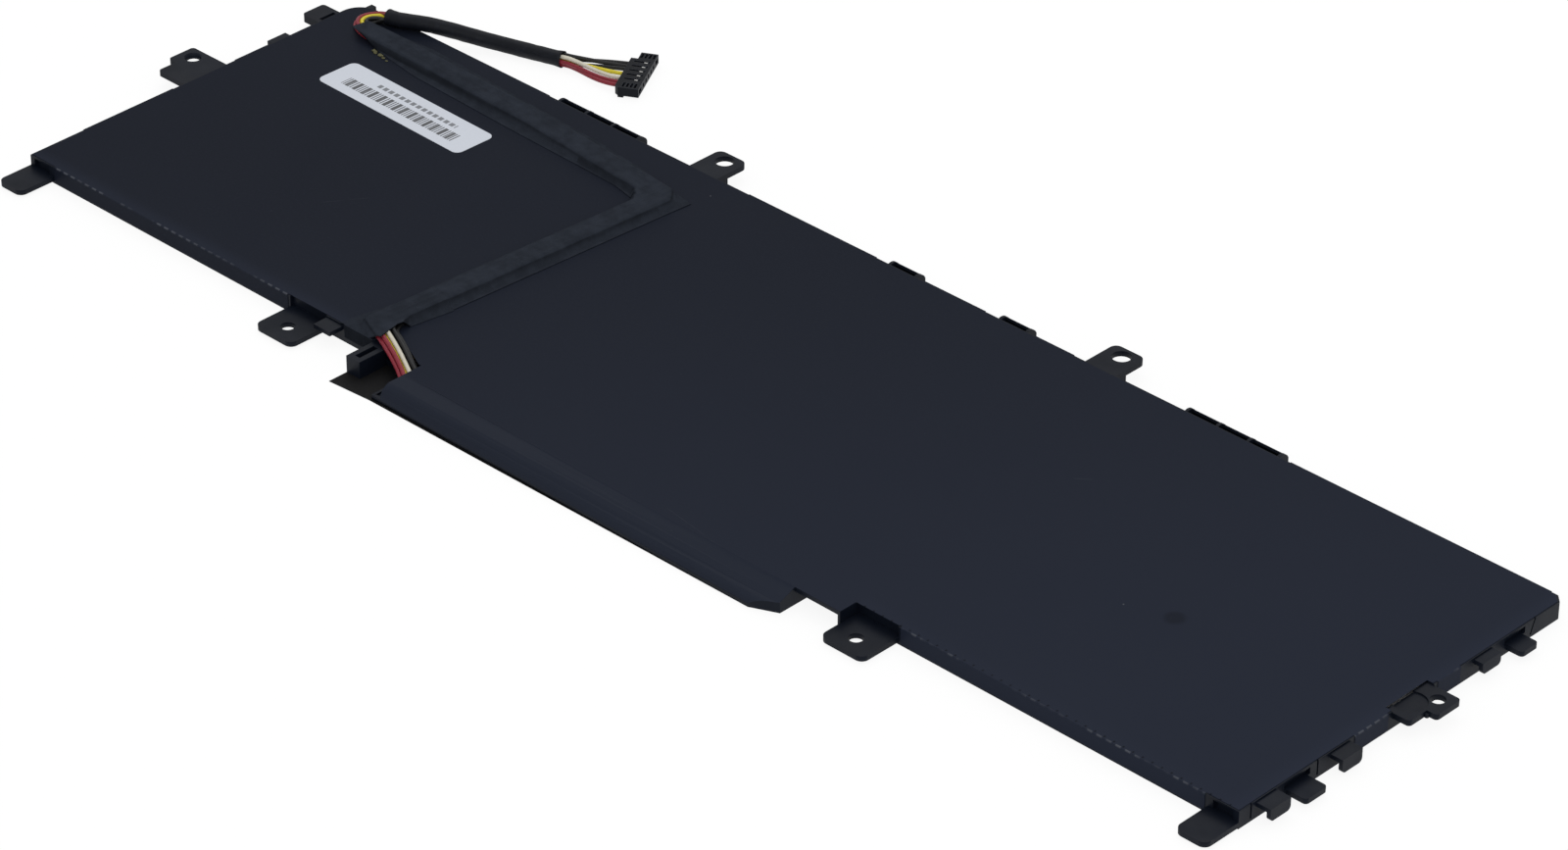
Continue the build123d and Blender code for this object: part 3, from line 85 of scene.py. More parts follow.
# Harness route, in metres: X, Y and height of the bundle's middle, and the layout of the wires
# there. A flat layout is a pitch, the rise of every second wire and the wires from left to right;
# a number is the turn of the round bundle inside the sleeve.
SIDE_BY_SIDE = ("red_1", "red_2", "yellow", "white", "black_1", "black_2", "black_3")
ROUND_THE_END = ("red_1", "red_2", "white", "yellow", "black_1", "black_2", "black_3")
SOLDERED = (0.00115, 0.0, SIDE_BY_SIDE)
AT_NOTCH = (0.00053, 0.00086, SIDE_BY_SIDE)
AT_BEND = (0.00063, 0.00066, SIDE_BY_SIDE)
UNDER_TAPE = (0.00082, 0.00052, SIDE_BY_SIDE)
AT_END = (0.00047, 0.00080, ROUND_THE_END)
ROUTE = (
    (-0.035025, -0.0503, 0.00178, SOLDERED),
    (-0.039525, -0.0503, 0.00178, SOLDERED),
    (-0.044825, -0.0475, 0.0028, AT_NOTCH),
    (-0.052825, -0.0440, 0.00481, AT_BEND),
    (-0.060425, -0.0408, 0.00471, AT_BEND),
    (-0.059425, -0.0262, 0.00464, UNDER_TAPE),
    (-0.056035, 0.02262, 0.00464, UNDER_TAPE),
    (-0.055425, 0.0314, 0.00464, UNDER_TAPE),
    (-0.064193, 0.032147, 0.00464, UNDER_TAPE),
    (-0.0965, 0.0349, 0.00464, UNDER_TAPE),
    (-0.1420, 0.0369, 0.00464, UNDER_TAPE),
    (-0.1510, 0.0370, 0.00478, AT_END),
    (-0.1528, 0.0395, 0.00478, AT_END),
    (-0.1512, 0.0424, 0.00478, AT_END),
    (-0.1483, 0.0428, 0.00568, 0),
    (-0.1458, 0.0432, 0.00568, -40),
    (-0.1393, 0.0469, 0.00568, -80),
    (-0.1314, 0.0550, 0.00178, -120),
    (-0.1140, 0.0605, 0.00178, -120),
    (-0.1120, 0.0612, 0.00178, -120),
    (-0.104084, 0.064361, 0.0014, AT_PLUG),
    (-0.101467, 0.065828, 0.0014, AT_PLUG),
)
SLEEVE_START, SLEEVE_END = 14, 18
# Rolled walls of the gutter clips on the far edge: Y and Z of their arch, and middle and width
CLIP_CENTRE = (0.04645, 0.001568)
CLIP_OUTER, CLIP_INNER = 0.0019, 0.0014
CLIP_ARCH = (13, 24, 35, 46, 56, 66)
CLIP_SETBACK = 0.0003
CLIPS = ((-0.0888, 0.0234), (0.0812, 0.0234), (-0.0035, 0.0076), (0.0258, 0.0076))
# Spacing of the tape's threads and of the ridges over the wires
THREAD_PITCH = 0.00042
RIDGE_PITCH = 0.0016
# Crumbs of old adhesive: X, Y and radius
CRUMBS = (
    (-0.1418, 0.0326, 0.0008),
    (-0.1412, 0.0321, 0.0005),
    (-0.1396, 0.0322, 0.0007),
    (-0.1384, 0.0318, 0.0005),
    (-0.1371, 0.0315, 0.0004),
)
# Scratches on the film: place, turn in degrees and length
SCRATCHES = (
    ((0.0720, 0.0138), -38, 0.0034),
    ((-0.0420, -0.0335), 12, 0.0030),
    ((-0.1010, -0.0130), -55, 0.0090),
    ((0.0310, -0.0480), 8, 0.0140),
)


def colour(name, description, default):
    """Colour that a user may change."""
    return bpy.props.FloatVectorProperty(
        name=name, description=description, subtype="COLOR", size=3, min=0.0, max=1.0, default=default
    )


def size(name, description, default):
    """Length that a user may change, in metres."""
    return bpy.props.FloatProperty(
        name=name, description=description, default=default, min=0.0, precision=5, unit="LENGTH"
    )


def angle(name, description, degrees):
    """Angle that a user may change, given in degrees."""
    return bpy.props.FloatProperty(
        name=name, description=description, default=math.radians(degrees), subtype="ANGLE"
    )


class PackColours(bpy.types.PropertyGroup):
    """Colours of the pack's surfaces."""

    film: colour("Cover film", "Satin film over the frame", (0.0101, 0.0128, 0.0215))
    frame: colour("Frame", "Moulded frame", (0.0048, 0.0070, 0.0130))
    # The rim colour is a painted highlight: a paler finish on the rounded edges of the frame and plug, where light
    # catches them.
    rim_highlight: colour("Rims", "Rubbed edges of the moulded parts", (0.0360, 0.0420, 0.0580))
    paper: colour("Barrier paper", "Paper under the board bay", (0.0050, 0.0050, 0.0056))
    tape: colour("Cloth tape", "Tape over the wires", (0.0210, 0.0250, 0.0340))
    sleeve: colour("Sleeve", "Sleeve over the loose wires", (0.0068, 0.0082, 0.0125))
    red: colour("Red wire", "Insulation of the positive wires", (0.27, 0.022, 0.038))
    yellow: colour("Yellow wire", "Insulation of the data wire", (0.76, 0.64, 0.035))
    white: colour("White wire", "Insulation of the sensor wire", (0.74, 0.70, 0.58))
    black: colour("Black wires", "Insulation of the negative wires", (0.0085, 0.0088, 0.0095))
    label: colour("Label", "Paper of the label", (0.70, 0.74, 0.82))
    ink: colour("Label print", "Bars on the label", (0.035, 0.036, 0.040))
    plug: colour("Plug", "Moulded plug housing", (0.0045, 0.0055, 0.0085))
    contact: colour("Contacts", "Plated contacts in the plug", (0.92, 0.91, 0.87))
    crumb: colour("Crumbs", "Bits of old adhesive at the tape's edge", (0.085, 0.080, 0.035))


class PackSizes(bpy.types.PropertyGroup):
    """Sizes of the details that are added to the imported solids."""

    wire: size("Wire", "Diameter of one insulated wire", 0.0009)
    sleeve_bore: size("Sleeve bore", "Inside diameter of the sleeve", 0.0033)
    sleeve_wall: size("Sleeve wall", "Thickness of the sleeve", 0.0001)
    frame_edge: size("Frame edges", "Rounding of the frame's moulded edges", 0.00014)
    film_fold: size("Film folds", "Rounding where the film folds over", 0.0003)
    film_bend: size("Film bends", "Rounding where the film bends gently over the bay", 0.0014)
    tape_edge: size("Tape ridge", "Rounding along the tape's raised band", 0.00055)
    plug_edge: size("Plug edges", "Rounding of the plug's edges", 0.00008)
    perforation: size("Perforation pitch", "Spacing of the dashes along the film's folds", 0.0022)


class StageSettings(bpy.types.PropertyGroup):
    """Camera and light of the studio."""

    azimuth: angle("Azimuth", "Direction of the camera round the pack", 43.868)
    elevation: angle("Elevation", "Height of the camera's line of sight", 32.559)
    roll: angle("Roll", "Turn of the camera about its line of sight", 0.315)
    distance: size("Distance", "From the camera to the point it looks at", 1.102605)
    lens: bpy.props.FloatProperty(
        name="Lens", description="Focal length in millimetres for a 36 mm wide frame", default=134.517, min=1.0
    )
    key_power: bpy.props.FloatProperty(
        name="Key light", description="Power of the large soft lamp", default=7.5, min=0.0, unit="POWER"
    )
    fill_power: bpy.props.FloatProperty(
        name="Fill light", description="Power of the lamp on the other side", default=7.0, min=0.0, unit="POWER"
    )


class Value:
    """A number that varies over a surface. Arithmetic on it adds Math nodes to its finish."""

    def __init__(self, finish, socket):
        self.finish = finish
        self.socket = socket

    def __add__(self, other):
        return self.finish.maths("ADD", self, other)

    def __radd__(self, other):
        return self.finish.maths("ADD", other, self)

    def __sub__(self, other):
        return self.finish.maths("SUBTRACT", self, other)

    def __rsub__(self, other):
        return self.finish.maths("SUBTRACT", other, self)

    def __mul__(self, other):
        return self.finish.maths("MULTIPLY", self, other)

    def __rmul__(self, other):
        return self.finish.maths("MULTIPLY", other, self)

    def __truediv__(self, other):
        return self.finish.maths("DIVIDE", self, other)

    def __rtruediv__(self, other):
        return self.finish.maths("DIVIDE", other, self)


class Finish:
    """A procedural material: patterns are added to its node tree and end in its Principled shader."""

    def __init__(self, name, base, roughness, specular=0.3, metallic=0.0):
        self.material = bpy.data.materials.new(name)
        self.material.use_nodes = True
        self.tree = self.material.node_tree
        self.surface = self.tree.nodes["Principled BSDF"]
        self.base = (*base, 1.0)
        self.feed(self.surface.inputs["Base Color"], self.base)
        self.feed(self.surface.inputs["Roughness"], roughness)
        self.feed(self.surface.inputs["Specular IOR Level"], specular)
        self.feed(self.surface.inputs["Metallic"], metallic)
        self.place = self.node("ShaderNodeTexCoord").outputs["Object"]
        self.relief = None

    def node(self, kind, settings=None, inputs=None):
        """Node of a kind, with its settings and then the values or links of its sockets."""
        made = self.tree.nodes.new(kind)
        for name, value in (settings or {}).items():
            setattr(made, name, value)
        for name, value in (inputs or {}).items():
            self.feed(made.inputs[name], value)
        return made

    def feed(self, socket, value):
        """Set a socket, or link what varies to it."""
        source = value.socket if isinstance(value, Value) else value
        if isinstance(source, bpy.types.NodeSocket):
            self.tree.links.new(source, socket)
        else:
            socket.default_value = source

    def maths(self, operation, *numbers):
        """Value from a Math node."""
        made = self.node("ShaderNodeMath", {"operation": operation}, dict(enumerate(numbers)))
        return Value(self, made.outputs[0])

    def turned(self, centre, turn=0.0, scale=(1.0, 1.0, 1.0)):
        """Place on the surface measured from a centre, turned about the upright and scaled."""
        rotation = (0.0, 0.0, turn)
        cosine, sine = math.cos(turn), math.sin(turn)
        x, y, z = centre
        shift = (-(cosine * x - sine * y) * scale[0], -(sine * x + cosine * y) * scale[1], -z * scale[2])
        inputs = {"Vector": self.place, "Location": shift, "Rotation": rotation, "Scale": scale}
        return self.node("ShaderNodeMapping", None, inputs).outputs["Vector"]

    def axes(self, place=None):
        """X, Y and Z on the surface, in metres."""
        made = self.node("ShaderNodeSeparateXYZ", None, {"Vector": place or self.place})
        return [Value(self, socket) for socket in made.outputs]

    def grain(self, scale, detail=2.0, place=None, roughness=0.5):
        """Noise with features of about 1 / scale metres."""
        inputs = {"Vector": place or self.place, "Scale": scale, "Detail": detail, "Roughness": roughness}
        return Value(self, self.node("ShaderNodeTexNoise", None, inputs).outputs[0])

    def specks(self, scale, share):
        """Sparse round specks, one to a cell of 1 / scale metres."""
        inputs = {"Vector": self.place, "Scale": scale}
        cells = self.node("ShaderNodeTexVoronoi", {"feature": "F1"}, inputs)
        return self.ramp(Value(self, cells.outputs["Distance"]), share, share * 0.4)

    def ramp(self, value, low, high):
        """Smooth step from nought at low to one at high."""
        inputs = {"Value": value, "From Min": low, "From Max": high, "To Min": 0.0, "To Max": 1.0}
        return Value(self, self.node("ShaderNodeMapRange", {"interpolation_type": "SMOOTHSTEP"}, inputs).outputs[0])

    def band(self, value, centre, width, soft=0.2):
        """One inside a band about a centre, nought outside it."""
        away = self.maths("ABSOLUTE", value - centre)
        return self.ramp(away, width / 2 * (1 + soft), width / 2 * (1 - soft))

    def dashes(self, value, pitch, share):
        """Repeating dashes that fill a share of each pitch."""
        return self.maths("LESS_THAN", self.maths("FRACT", value / pitch), share)

    def blend(self, factor, first, second):
        """Colour mixed from two by a factor."""
        inputs = {0: factor, 6: first, 7: second}
        return self.node("ShaderNodeMix", {"data_type": "RGBA"}, inputs).outputs[2]

    def paint(self, mask, tint):
        """Lay a colour over what is there, where the mask says."""
        under = self.surface.inputs["Base Color"]
        first = under.links[0].from_socket if under.is_linked else tuple(under.default_value)
        self.feed(under, self.blend(mask, first, (*tint, 1.0)))

    def bump(self, height, distance, strength=1.0):
        """Relief added over what is there."""
        inputs = {"Height": height, "Distance": distance, "Strength": strength}
        if self.relief:
            inputs["Normal"] = self.relief
        self.relief = self.node("ShaderNodeBump", None, inputs).outputs["Normal"]
        self.feed(self.surface.inputs["Normal"], self.relief)


def shaded(base, factor):
    """A colour made lighter or darker."""
    return tuple(min(1.0, part * factor) for part in base)


def moulded(name, base, roughness=0.5, specular=0.35, grain=2500.0):
    """Moulded plastic: a fine matt grain with faint flow marks and handling shine."""
    finish = Finish(name, base, roughness, specular)
    fine = finish.grain(grain, 3.0)
    broad = finish.grain(90.0, 2.0)
    finish.paint(finish.ramp(broad, 0.35, 0.75), shaded(base, 1.35))
    finish.feed(finish.surface.inputs["Roughness"], roughness - 0.12 + 0.24 * finish.grain(220.0))
    finish.bump(fine, 0.00002, 0.5)
    return finish


def film_finish(colours, sizes):
    """Satin film: soft waviness, a painted highlight along the roll of its folds, painted light brightening it
    towards its right end and over the bay's slope, perforation dashes, dust and marks.
    """
    base = tuple(colours.film)
    finish = Finish("satin_film", base, 0.42, 0.03)
    x, y, z = finish.axes()
    broad = finish.grain(14.0, 2.0)
    finish.paint(finish.ramp(broad, 0.3, 0.8) * 0.25, shaded(base, 1.4))
    finish.paint(finish.ramp(finish.grain(1800.0, 2.0), 0.45, 0.8), shaded(base, 1.25))
    # Painted light: the film is painted lighter towards its right end, where the lamps' light falls more brightly.
    finish.paint(finish.ramp(x * 0.72 - y * 0.69, -0.10, 0.15), shaded(base, 1.85))
    near_left = finish.ramp(x, BAY_LEFT - 0.0102, BAY_LEFT - 0.0106)
    near_right = finish.ramp(x, BAY_RIGHT + 0.0115, BAY_RIGHT + 0.0119)
    folded = near_left + near_right
    # Painted highlight: a paler band on the film's top along the rolled folds of the near edge and the right end,
    # where light catches the roll.
    near_roll_highlight = finish.ramp(y, NEAR_EDGE + 0.0042, NEAR_EDGE) * folded
    right_roll_highlight = finish.ramp(x, RIGHT_END - 0.0045, RIGHT_END)
    top = finish.ramp(z, FILM_TOP - 0.0004, FILM_TOP - 0.0001)
    finish.paint(near_roll_highlight * top * 0.5, shaded(base, 2.0))
    finish.paint(right_roll_highlight * top * 0.5, shaded(base, 2.3))
    # Painted light: the film's slope down over the bay is painted paler, making up for the lamp light that slope
    # gets less of.
    bay_slope_painted_light = finish.ramp(y, NEAR_EDGE - 0.0036, NEAR_EDGE - 0.0052) * (1.0 - folded)
    finish.paint(bay_slope_painted_light * 0.55, (0.0260, 0.0310, 0.0450))
    # Perforation: worn pale dashes along the folds and dark nicks beside the bay
    patchy = finish.ramp(finish.grain(120.0, 3.0), 0.38, 0.60)
    near_line = finish.band(y, NEAR_EDGE, 0.00030) * finish.dashes(x, sizes.perforation, 0.55) * folded
    far_line = finish.band(y, FAR_EDGE, 0.0003) * finish.dashes(x, sizes.perforation, 0.4)
    end_line = finish.band(x, RIGHT_END, 0.00034) * finish.dashes(y, sizes.perforation, 0.62)
    lines = (near_line + far_line * 0.4 + end_line) * top * patchy
    finish.paint(lines * 0.75, (0.100, 0.108, 0.128))
    nicks = finish.band(y, NEAR_EDGE + 0.0004, 0.0005) * finish.dashes(x + 0.0009, sizes.perforation, 0.16)
    finish.paint(nicks * near_right * top * 0.8, shaded(base, 0.35))
    # A round blotch, short scratches and dust
    blotch_x, blotch_y, blotch_z = finish.axes(finish.turned((0.1140, -0.0087, 0.0)))
    away = finish.maths("SQRT", blotch_x * blotch_x + blotch_y * blotch_y)
    finish.paint(finish.ramp(away, 0.0026, 0.0012) * 0.5 * top, shaded(base, 0.6))
    for spot, turn, length in SCRATCHES:
        scratch_x, scratch_y, scratch_z = finish.axes(finish.turned((*spot, 0.0), math.radians(turn)))
        scratch = finish.band(scratch_y, 0.0, 0.00011) * finish.band(scratch_x, 0.0, length)
        finish.paint(scratch * patchy * 0.5 * top, (0.060, 0.066, 0.080))
    finish.paint(finish.specks(190.0, 0.022) * finish.ramp(finish.grain(45.0), 0.5, 0.7) * 0.5, (0.11, 0.115, 0.13))
    finish.paint(finish.specks(85.0, 0.018) * patchy * 0.7, (0.17, 0.18, 0.20))
    finish.paint(finish.specks(31.0, 0.0085) * 0.7, (0.34, 0.35, 0.37))
    finish.feed(finish.surface.inputs["Roughness"], 0.38 + 0.10 * finish.grain(30.0) + 0.2 * lines)
    finish.bump(broad, 0.0003, 0.2)
    finish.bump(finish.grain(2600.0, 2.0), 0.00001, 0.35)
    return finish


def tape_finish(colours):
    """Cloth tape: a fine weave in two directions, ridges over the wires, lint, a worn crest and painted shade on
    the band's steep sides.
    """
    base = tuple(colours.tape)
    finish = Finish("cloth_tape", base, 0.85, 0.03)
    x, y, z = finish.axes(finish.turned((0.0, 0.0, 0.0), math.radians(4)))
    warp = finish.maths("SINE", x * (2 * math.pi / THREAD_PITCH))
    weft = finish.maths("SINE", y * (2 * math.pi / THREAD_PITCH))
    weave = warp * weft
    mottle = finish.grain(420.0, 4.0)
    finish.paint(finish.ramp(mottle, 0.35, 0.75) * 0.8, shaded(base, 1.4))
    finish.paint(finish.ramp(weave, 0.2, 1.0) * 0.35, shaded(base, 1.3))
    crest = finish.ramp(z, FILM_TOP + 0.0007, FILM_TOP + 0.0018)
    # Painted shade: where the surface leans steeply, on the band's sides, it is painted darker, standing in for the
    # shade there.
    facing = Value(finish, finish.node("ShaderNodeTexCoord").outputs["Normal"])
    lean_x, lean_y, normal_z_for_painted_shade = finish.axes(facing.socket)
    finish.paint(finish.ramp(normal_z_for_painted_shade, 0.80, 0.45) * 0.6, shaded(base, 0.30))
    finish.paint(crest * finish.ramp(finish.grain(260.0, 3.0), 0.4, 0.7) * 0.5, shaded(base, 1.7))
    # Ridges of the wires below, along the band's two runs
    after_corner = finish.ramp(x, -0.0590, -0.0620)
    along_x, along_y, along_z = finish.axes(finish.turned((-0.0965, 0.0349, 0.0), math.radians(3.5)))
    cross_x, cross_y, cross_z = finish.axes(finish.turned((-0.0574, 0.0026, 0.0), math.radians(4)))
    wobble = finish.grain(40.0) * 3.0
    ridges = finish.maths("SINE", along_y * (2 * math.pi / RIDGE_PITCH) + wobble)
    cross_ridges = finish.maths("SINE", cross_x * (2 * math.pi / RIDGE_PITCH) + wobble)
    height = after_corner * ridges + (1.0 - after_corner) * cross_ridges
    fading = finish.ramp(finish.grain(70.0), 0.35, 0.6) * crest
    finish.paint(finish.ramp(height, 0.5, 1.0) * fading * 0.15, shaded(base, 1.6))
    finish.paint(finish.specks(240.0, 0.03) * finish.ramp(mottle, 0.5, 0.7) * 0.5, (0.12, 0.12, 0.12))
    finish.bump(height * fading, 0.0002, 0.3)
    finish.bump(weave + mottle * 1.5, 0.00004, 0.6)
    finish.bump(finish.grain(90.0, 3.0), 0.0005, 0.5)
    return finish


def wire_finish(name, base):
    """Extruded insulation: slightly uneven colour, rub marks and a soft shine."""
    finish = Finish(name, base, 0.42, 0.35)
    finish.paint(finish.ramp(finish.grain(900.0, 3.0), 0.4, 0.8) * 0.5, shaded(base, 0.72))
    finish.paint(finish.ramp(finish.grain(300.0, 2.0), 0.55, 0.8) * 0.35, shaded(base, 1.25))
    finish.feed(finish.surface.inputs["Roughness"], 0.34 + 0.2 * finish.grain(700.0))
    finish.bump(finish.grain(900.0, 2.0), 0.00003, 0.15)
    return finish


def sleeve_finish(colours):
    """Thin sleeve: satin skin with fine creases across it and rubbed ridges."""
    base = tuple(colours.sleeve)
    finish = Finish("wire_sleeve_skin", base, 0.5, 0.18)
    creases = finish.grain(650.0, 4.0)
    finish.paint(finish.ramp(creases, 0.45, 0.75) * 0.6, shaded(base, 1.8))
    finish.feed(finish.surface.inputs["Roughness"], 0.42 + 0.25 * finish.grain(240.0))
    finish.bump(creases, 0.00012, 0.5)
    return finish


def label_finish(colours):
    """Satin paper label with plain bars and a row of plain blocks, slightly grubby in patches."""
    base = tuple(colours.label)
    finish = Finish("label_paper", base, 0.38, 0.4)
    along, across, up = finish.axes(finish.turned((-0.1200, 0.0209, 0.0), math.radians(1.4)))
    fibres = finish.grain(1500.0, 3.0)
    finish.paint(finish.ramp(fibres, 0.4, 0.8) * 0.25, shaded(base, 0.9))
    finish.paint(finish.ramp(finish.grain(60.0, 3.0), 0.5, 0.8) * 0.2, shaded(base, 0.86))
    printed = finish.band(along, 0.0, 0.0340, 0.003)
    thin = finish.dashes(along + 1.0, 0.00067, 0.45)
    thick = finish.dashes(along + 1.0, 0.00236, 0.30)
    bars = finish.maths("MAXIMUM", thin, thick) * finish.band(across, -0.0012, 0.0030, 0.02)
    blocks = finish.dashes(along + 1.0, 0.0017, 0.70) * finish.band(across, 0.0021, 0.0012, 0.05)
    row = finish.band(along, 0.0015, 0.0240, 0.003)
    finish.paint(finish.maths("MAXIMUM", bars * printed, blocks * row * 0.8) * 0.92, tuple(colours.ink))
    finish.bump(fibres, 0.00001, 0.3)
    return finish


def plated(name, base, roughness=0.25, metallic=1.0):
    """Bright plating with faint tarnish."""
    finish = Finish(name, base, roughness, 0.5, metallic)
    finish.paint(finish.ramp(finish.grain(1500.0, 3.0), 0.45, 0.8) * 0.5, shaded(base, 0.7))
    finish.feed(finish.surface.inputs["Roughness"], roughness + 0.2 * finish.grain(2200.0))
    return finish


def board_finish():
    """Solder resist over faint tracks."""
    base = (0.006, 0.035, 0.014)
    finish = Finish("solder_resist", base, 0.35, 0.5)
    x, y, z = finish.axes()
    tracks = finish.dashes(y + 1.0, 0.0009, 0.4) * finish.ramp(finish.grain(160.0), 0.45, 0.55)
    finish.paint(tracks * 0.7, shaded(base, 1.9))
    finish.bump(tracks, 0.00002, 0.5)
    return finish


def pouch_finish():
    """Aluminium laminate, satin with faint dimples."""
    base = (0.50, 0.50, 0.51)
    finish = Finish("pouch_laminate", base, 0.4, 0.5, 0.85)
    dimples = finish.grain(700.0, 3.0)
    finish.paint(finish.ramp(dimples, 0.4, 0.8) * 0.4, shaded(base, 0.8))
    finish.bump(dimples, 0.00003, 0.5)
    return finish


def paper_finish(colours):
    """Black barrier paper with a fibrous grain and a few specks."""
    base = tuple(colours.paper)
    finish = Finish("barrier_paper_black", base, 0.75, 0.2)
    fibres = finish.grain(1300.0, 5.0)
    finish.paint(finish.ramp(fibres, 0.4, 0.75) * 0.7, shaded(base, 1.7))
    finish.paint(finish.specks(260.0, 0.04) * 0.5, (0.11, 0.10, 0.09))
    finish.bump(fibres, 0.00004, 0.5)
    return finish


def piece_from(shape, name, finish, node=None, smooth=35.0):
    """Object made from a shape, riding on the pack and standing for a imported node."""
    mesh = bpy.data.meshes.new(name)
    shape.to_mesh(mesh)
    shape.free()
    mesh.polygons.foreach_set("use_smooth", [True] * len(mesh.polygons))
    mesh.set_sharp_from_angle(angle=math.radians(smooth))
    piece = bpy.data.objects.new(name, mesh)
    bpy.context.scene.collection.objects.link(piece)
    mesh.materials.append(finish.material)
    broad = piece.modifiers.new("broad_faces_stay_flat", "WEIGHTED_NORMAL")
    broad.keep_sharp = True
    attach(piece, "root")
    if node:
        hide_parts(node)
    return piece


def welded(node):
    """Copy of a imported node's shape, with its loose triangles joined into faces."""
    shape = bmesh.new()
    shape.from_mesh(NODES[node].data)
    bmesh.ops.remove_doubles(shape, verts=shape.verts, dist=2e-6)
    bmesh.ops.dissolve_limit(shape, angle_limit=math.radians(0.5), verts=shape.verts, edges=shape.edges)
    return shape


def round_edges(shape, edges, width, segments, rim_highlight=-1):
    """Round the given edges over, with the painted rim highlight's finish where one is given."""
    bmesh.ops.bevel(
        shape,
        geom=edges,
        offset=width,
        offset_type="OFFSET",
        affect="EDGES",
        segments=segments,
        profile=0.5,
        material=rim_highlight,
        clamp_overlap=True,
    )


def add_rim_highlights(piece, name):
    """Give a moulded piece the paler second finish of its rounded edges, a painted highlight where light catches
    them.
    """
    rim_highlights = moulded(name, tuple(bpy.context.scene.pack_colours.rim_highlight), 0.4, 0.25)
    piece.data.materials.append(rim_highlights.material)


def turning(edge):
    """Angle between an edge's two faces, or nought where it hasn't two."""
    return edge.calc_face_angle(0.0) if len(edge.link_faces) == 2 else 0.0


def dress(node, finish):
    """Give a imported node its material."""
    holder = NODES[node]
    if not holder.material_slots:
        holder.data.materials.append(finish.material)
    for place in holder.material_slots:
        place.material = finish.material


def lane_offset(wire, layout):
    """Place of a wire in the bundle, to the right of its middle and above it."""
    if layout == AT_PLUG:
        return PLUG_PLACES[wire], 0.0
    if isinstance(layout, tuple):
        pitch, rise, order = layout
        place = order.index(wire)
        return (place - (len(order) - 1) / 2) * pitch, rise * (place % 2 - 0.5)
    if wire not in BUNDLE_ANGLES:
        return 0.0, 0.0
    angle = math.radians(BUNDLE_ANGLES[wire] + layout)
    return BUNDLE_PITCH * math.cos(angle), BUNDLE_PITCH * math.sin(angle)


def lane_points(wire):
    """Control points of one wire, set off from the route by its place in the bundle."""
    spots = [Vector(point[:2]) for point in ROUTE]
    headings = [(end - start).normalized() for start, end in zip(spots, spots[1:])]
    headings = [headings[0]] + headings + [headings[-1]]
    points = []
    for number, (spot, point) in enumerate(zip(spots, ROUTE)):
        across, up = lane_offset(wire, point[3])
        forward = (headings[number] + headings[number + 1]).normalized()
        reach = across / forward.dot(headings[number])
        points.append(Vector((spot.x + forward.y * reach, spot.y - forward.x * reach, point[2] + up)))
    return points


def cord_curve(name, points, radius):
    """Smooth curve with these control points and a round section."""
    curve = bpy.data.curves.new(name, "CURVE")
    curve.dimensions = "3D"
    spline = curve.splines.new("NURBS")
    spline.points.add(len(points) - 1)
    for control, point in zip(spline.points, points):
        control.co = (*point, 1.0)
    spline.order_u = 3
    spline.use_endpoint_u = True
    spline.resolution_u = 10
    curve.bevel_depth = radius
    curve.bevel_resolution = 3
    curve.use_fill_caps = True
    made = bpy.data.objects.new(name, curve)
    bpy.context.scene.collection.objects.link(made)
    return made


def smooth_line(points):
    """Points along the smooth curve that has these control points."""
    guide = cord_curve("guide", points, 0.0)
    line = bpy.data.meshes.new_from_object(guide)
    places = [vertex.co.copy() for vertex in line.vertices]
    bpy.data.meshes.remove(line)
    bpy.data.objects.remove(guide)
    return places


class BATTERY_OT_inside(bpy.types.Operator):
    """Give the cells, leads, board and components inside the frame their finishes"""

    bl_idname = "battery.inside"
    bl_label = "Dress the inside"

    def execute(self, context):
        finishes = {
            "pouch": pouch_finish(),
            "foam_tape": moulded("foam_pad", (0.03, 0.03, 0.03), 0.85, 0.1, 900.0),
            "insulator": moulded("amber_insulator", (0.30, 0.14, 0.02), 0.35, 0.5, 1200.0),
            "nickel": plated("nickel_strip", (0.60, 0.58, 0.52), 0.3),
            "board": board_finish(),
            "component": moulded("chip_epoxy", (0.010, 0.010, 0.011), 0.45, 0.5),
            "ceramic_part": moulded("ceramic_body", (0.30, 0.24, 0.17), 0.55, 0.4),
            "solder": plated("solder_joint", (0.66, 0.66, 0.67), 0.2),
        }
        for node, slot in SLOT_OF.items():
            if slot in finishes:
                dress(node, finishes[slot])
        return {"FINISHED"}


class BATTERY_OT_frame(bpy.types.Operator):
    """Round the moulded frame's edges with painted highlights on them and give it its matt grain"""

    bl_idname = "battery.frame"
    bl_label = "Finish the frame"

    def execute(self, context):
        scene = context.scene
        shape = welded("frame")
        corners = [edge for edge in shape.edges if turning(edge) > math.radians(50)]
        # The rounded edges take the second slot, which holds the painted rim highlight.
        round_edges(shape, corners, scene.pack_sizes.frame_edge, 2, 1)
        for middle, width in CLIPS:
            self.roll(shape, middle, width)
        finish = moulded("frame_plastic", tuple(scene.pack_colours.frame), 0.45, 0.12)
        add_rim_highlights(piece_from(shape, "frame_moulding", finish, "frame"), "frame_rim_highlights")
        return {"FINISHED"}

    def roll(self, shape, middle, width):
        """Wall of a gutter clip rolled over between its webs."""
        centre_y, centre_z = CLIP_CENTRE
        angles = [math.radians(turn) for turn in CLIP_ARCH]
        arch = [(CLIP_OUTER, turn) for turn in angles] + [(CLIP_INNER, turn) for turn in angles[::-1]]
        section = [(centre_y + out * math.cos(turn), centre_z + out * math.sin(turn)) for out, turn in arch]
        first = [shape.verts.new((middle - width / 2 + CLIP_SETBACK, y, z)) for y, z in section]
        face = shape.faces.new(first)
        grown = bmesh.ops.extrude_face_region(shape, geom=[face])
        far = [item for item in grown["geom"] if isinstance(item, bmesh.types.BMVert)]
        bmesh.ops.translate(shape, verts=far, vec=(width - 2 * CLIP_SETBACK, 0.0, 0.0))
        whole = [face] + [link for vertex in far for link in vertex.link_faces]
        bmesh.ops.recalc_face_normals(shape, faces=list(set(whole)))


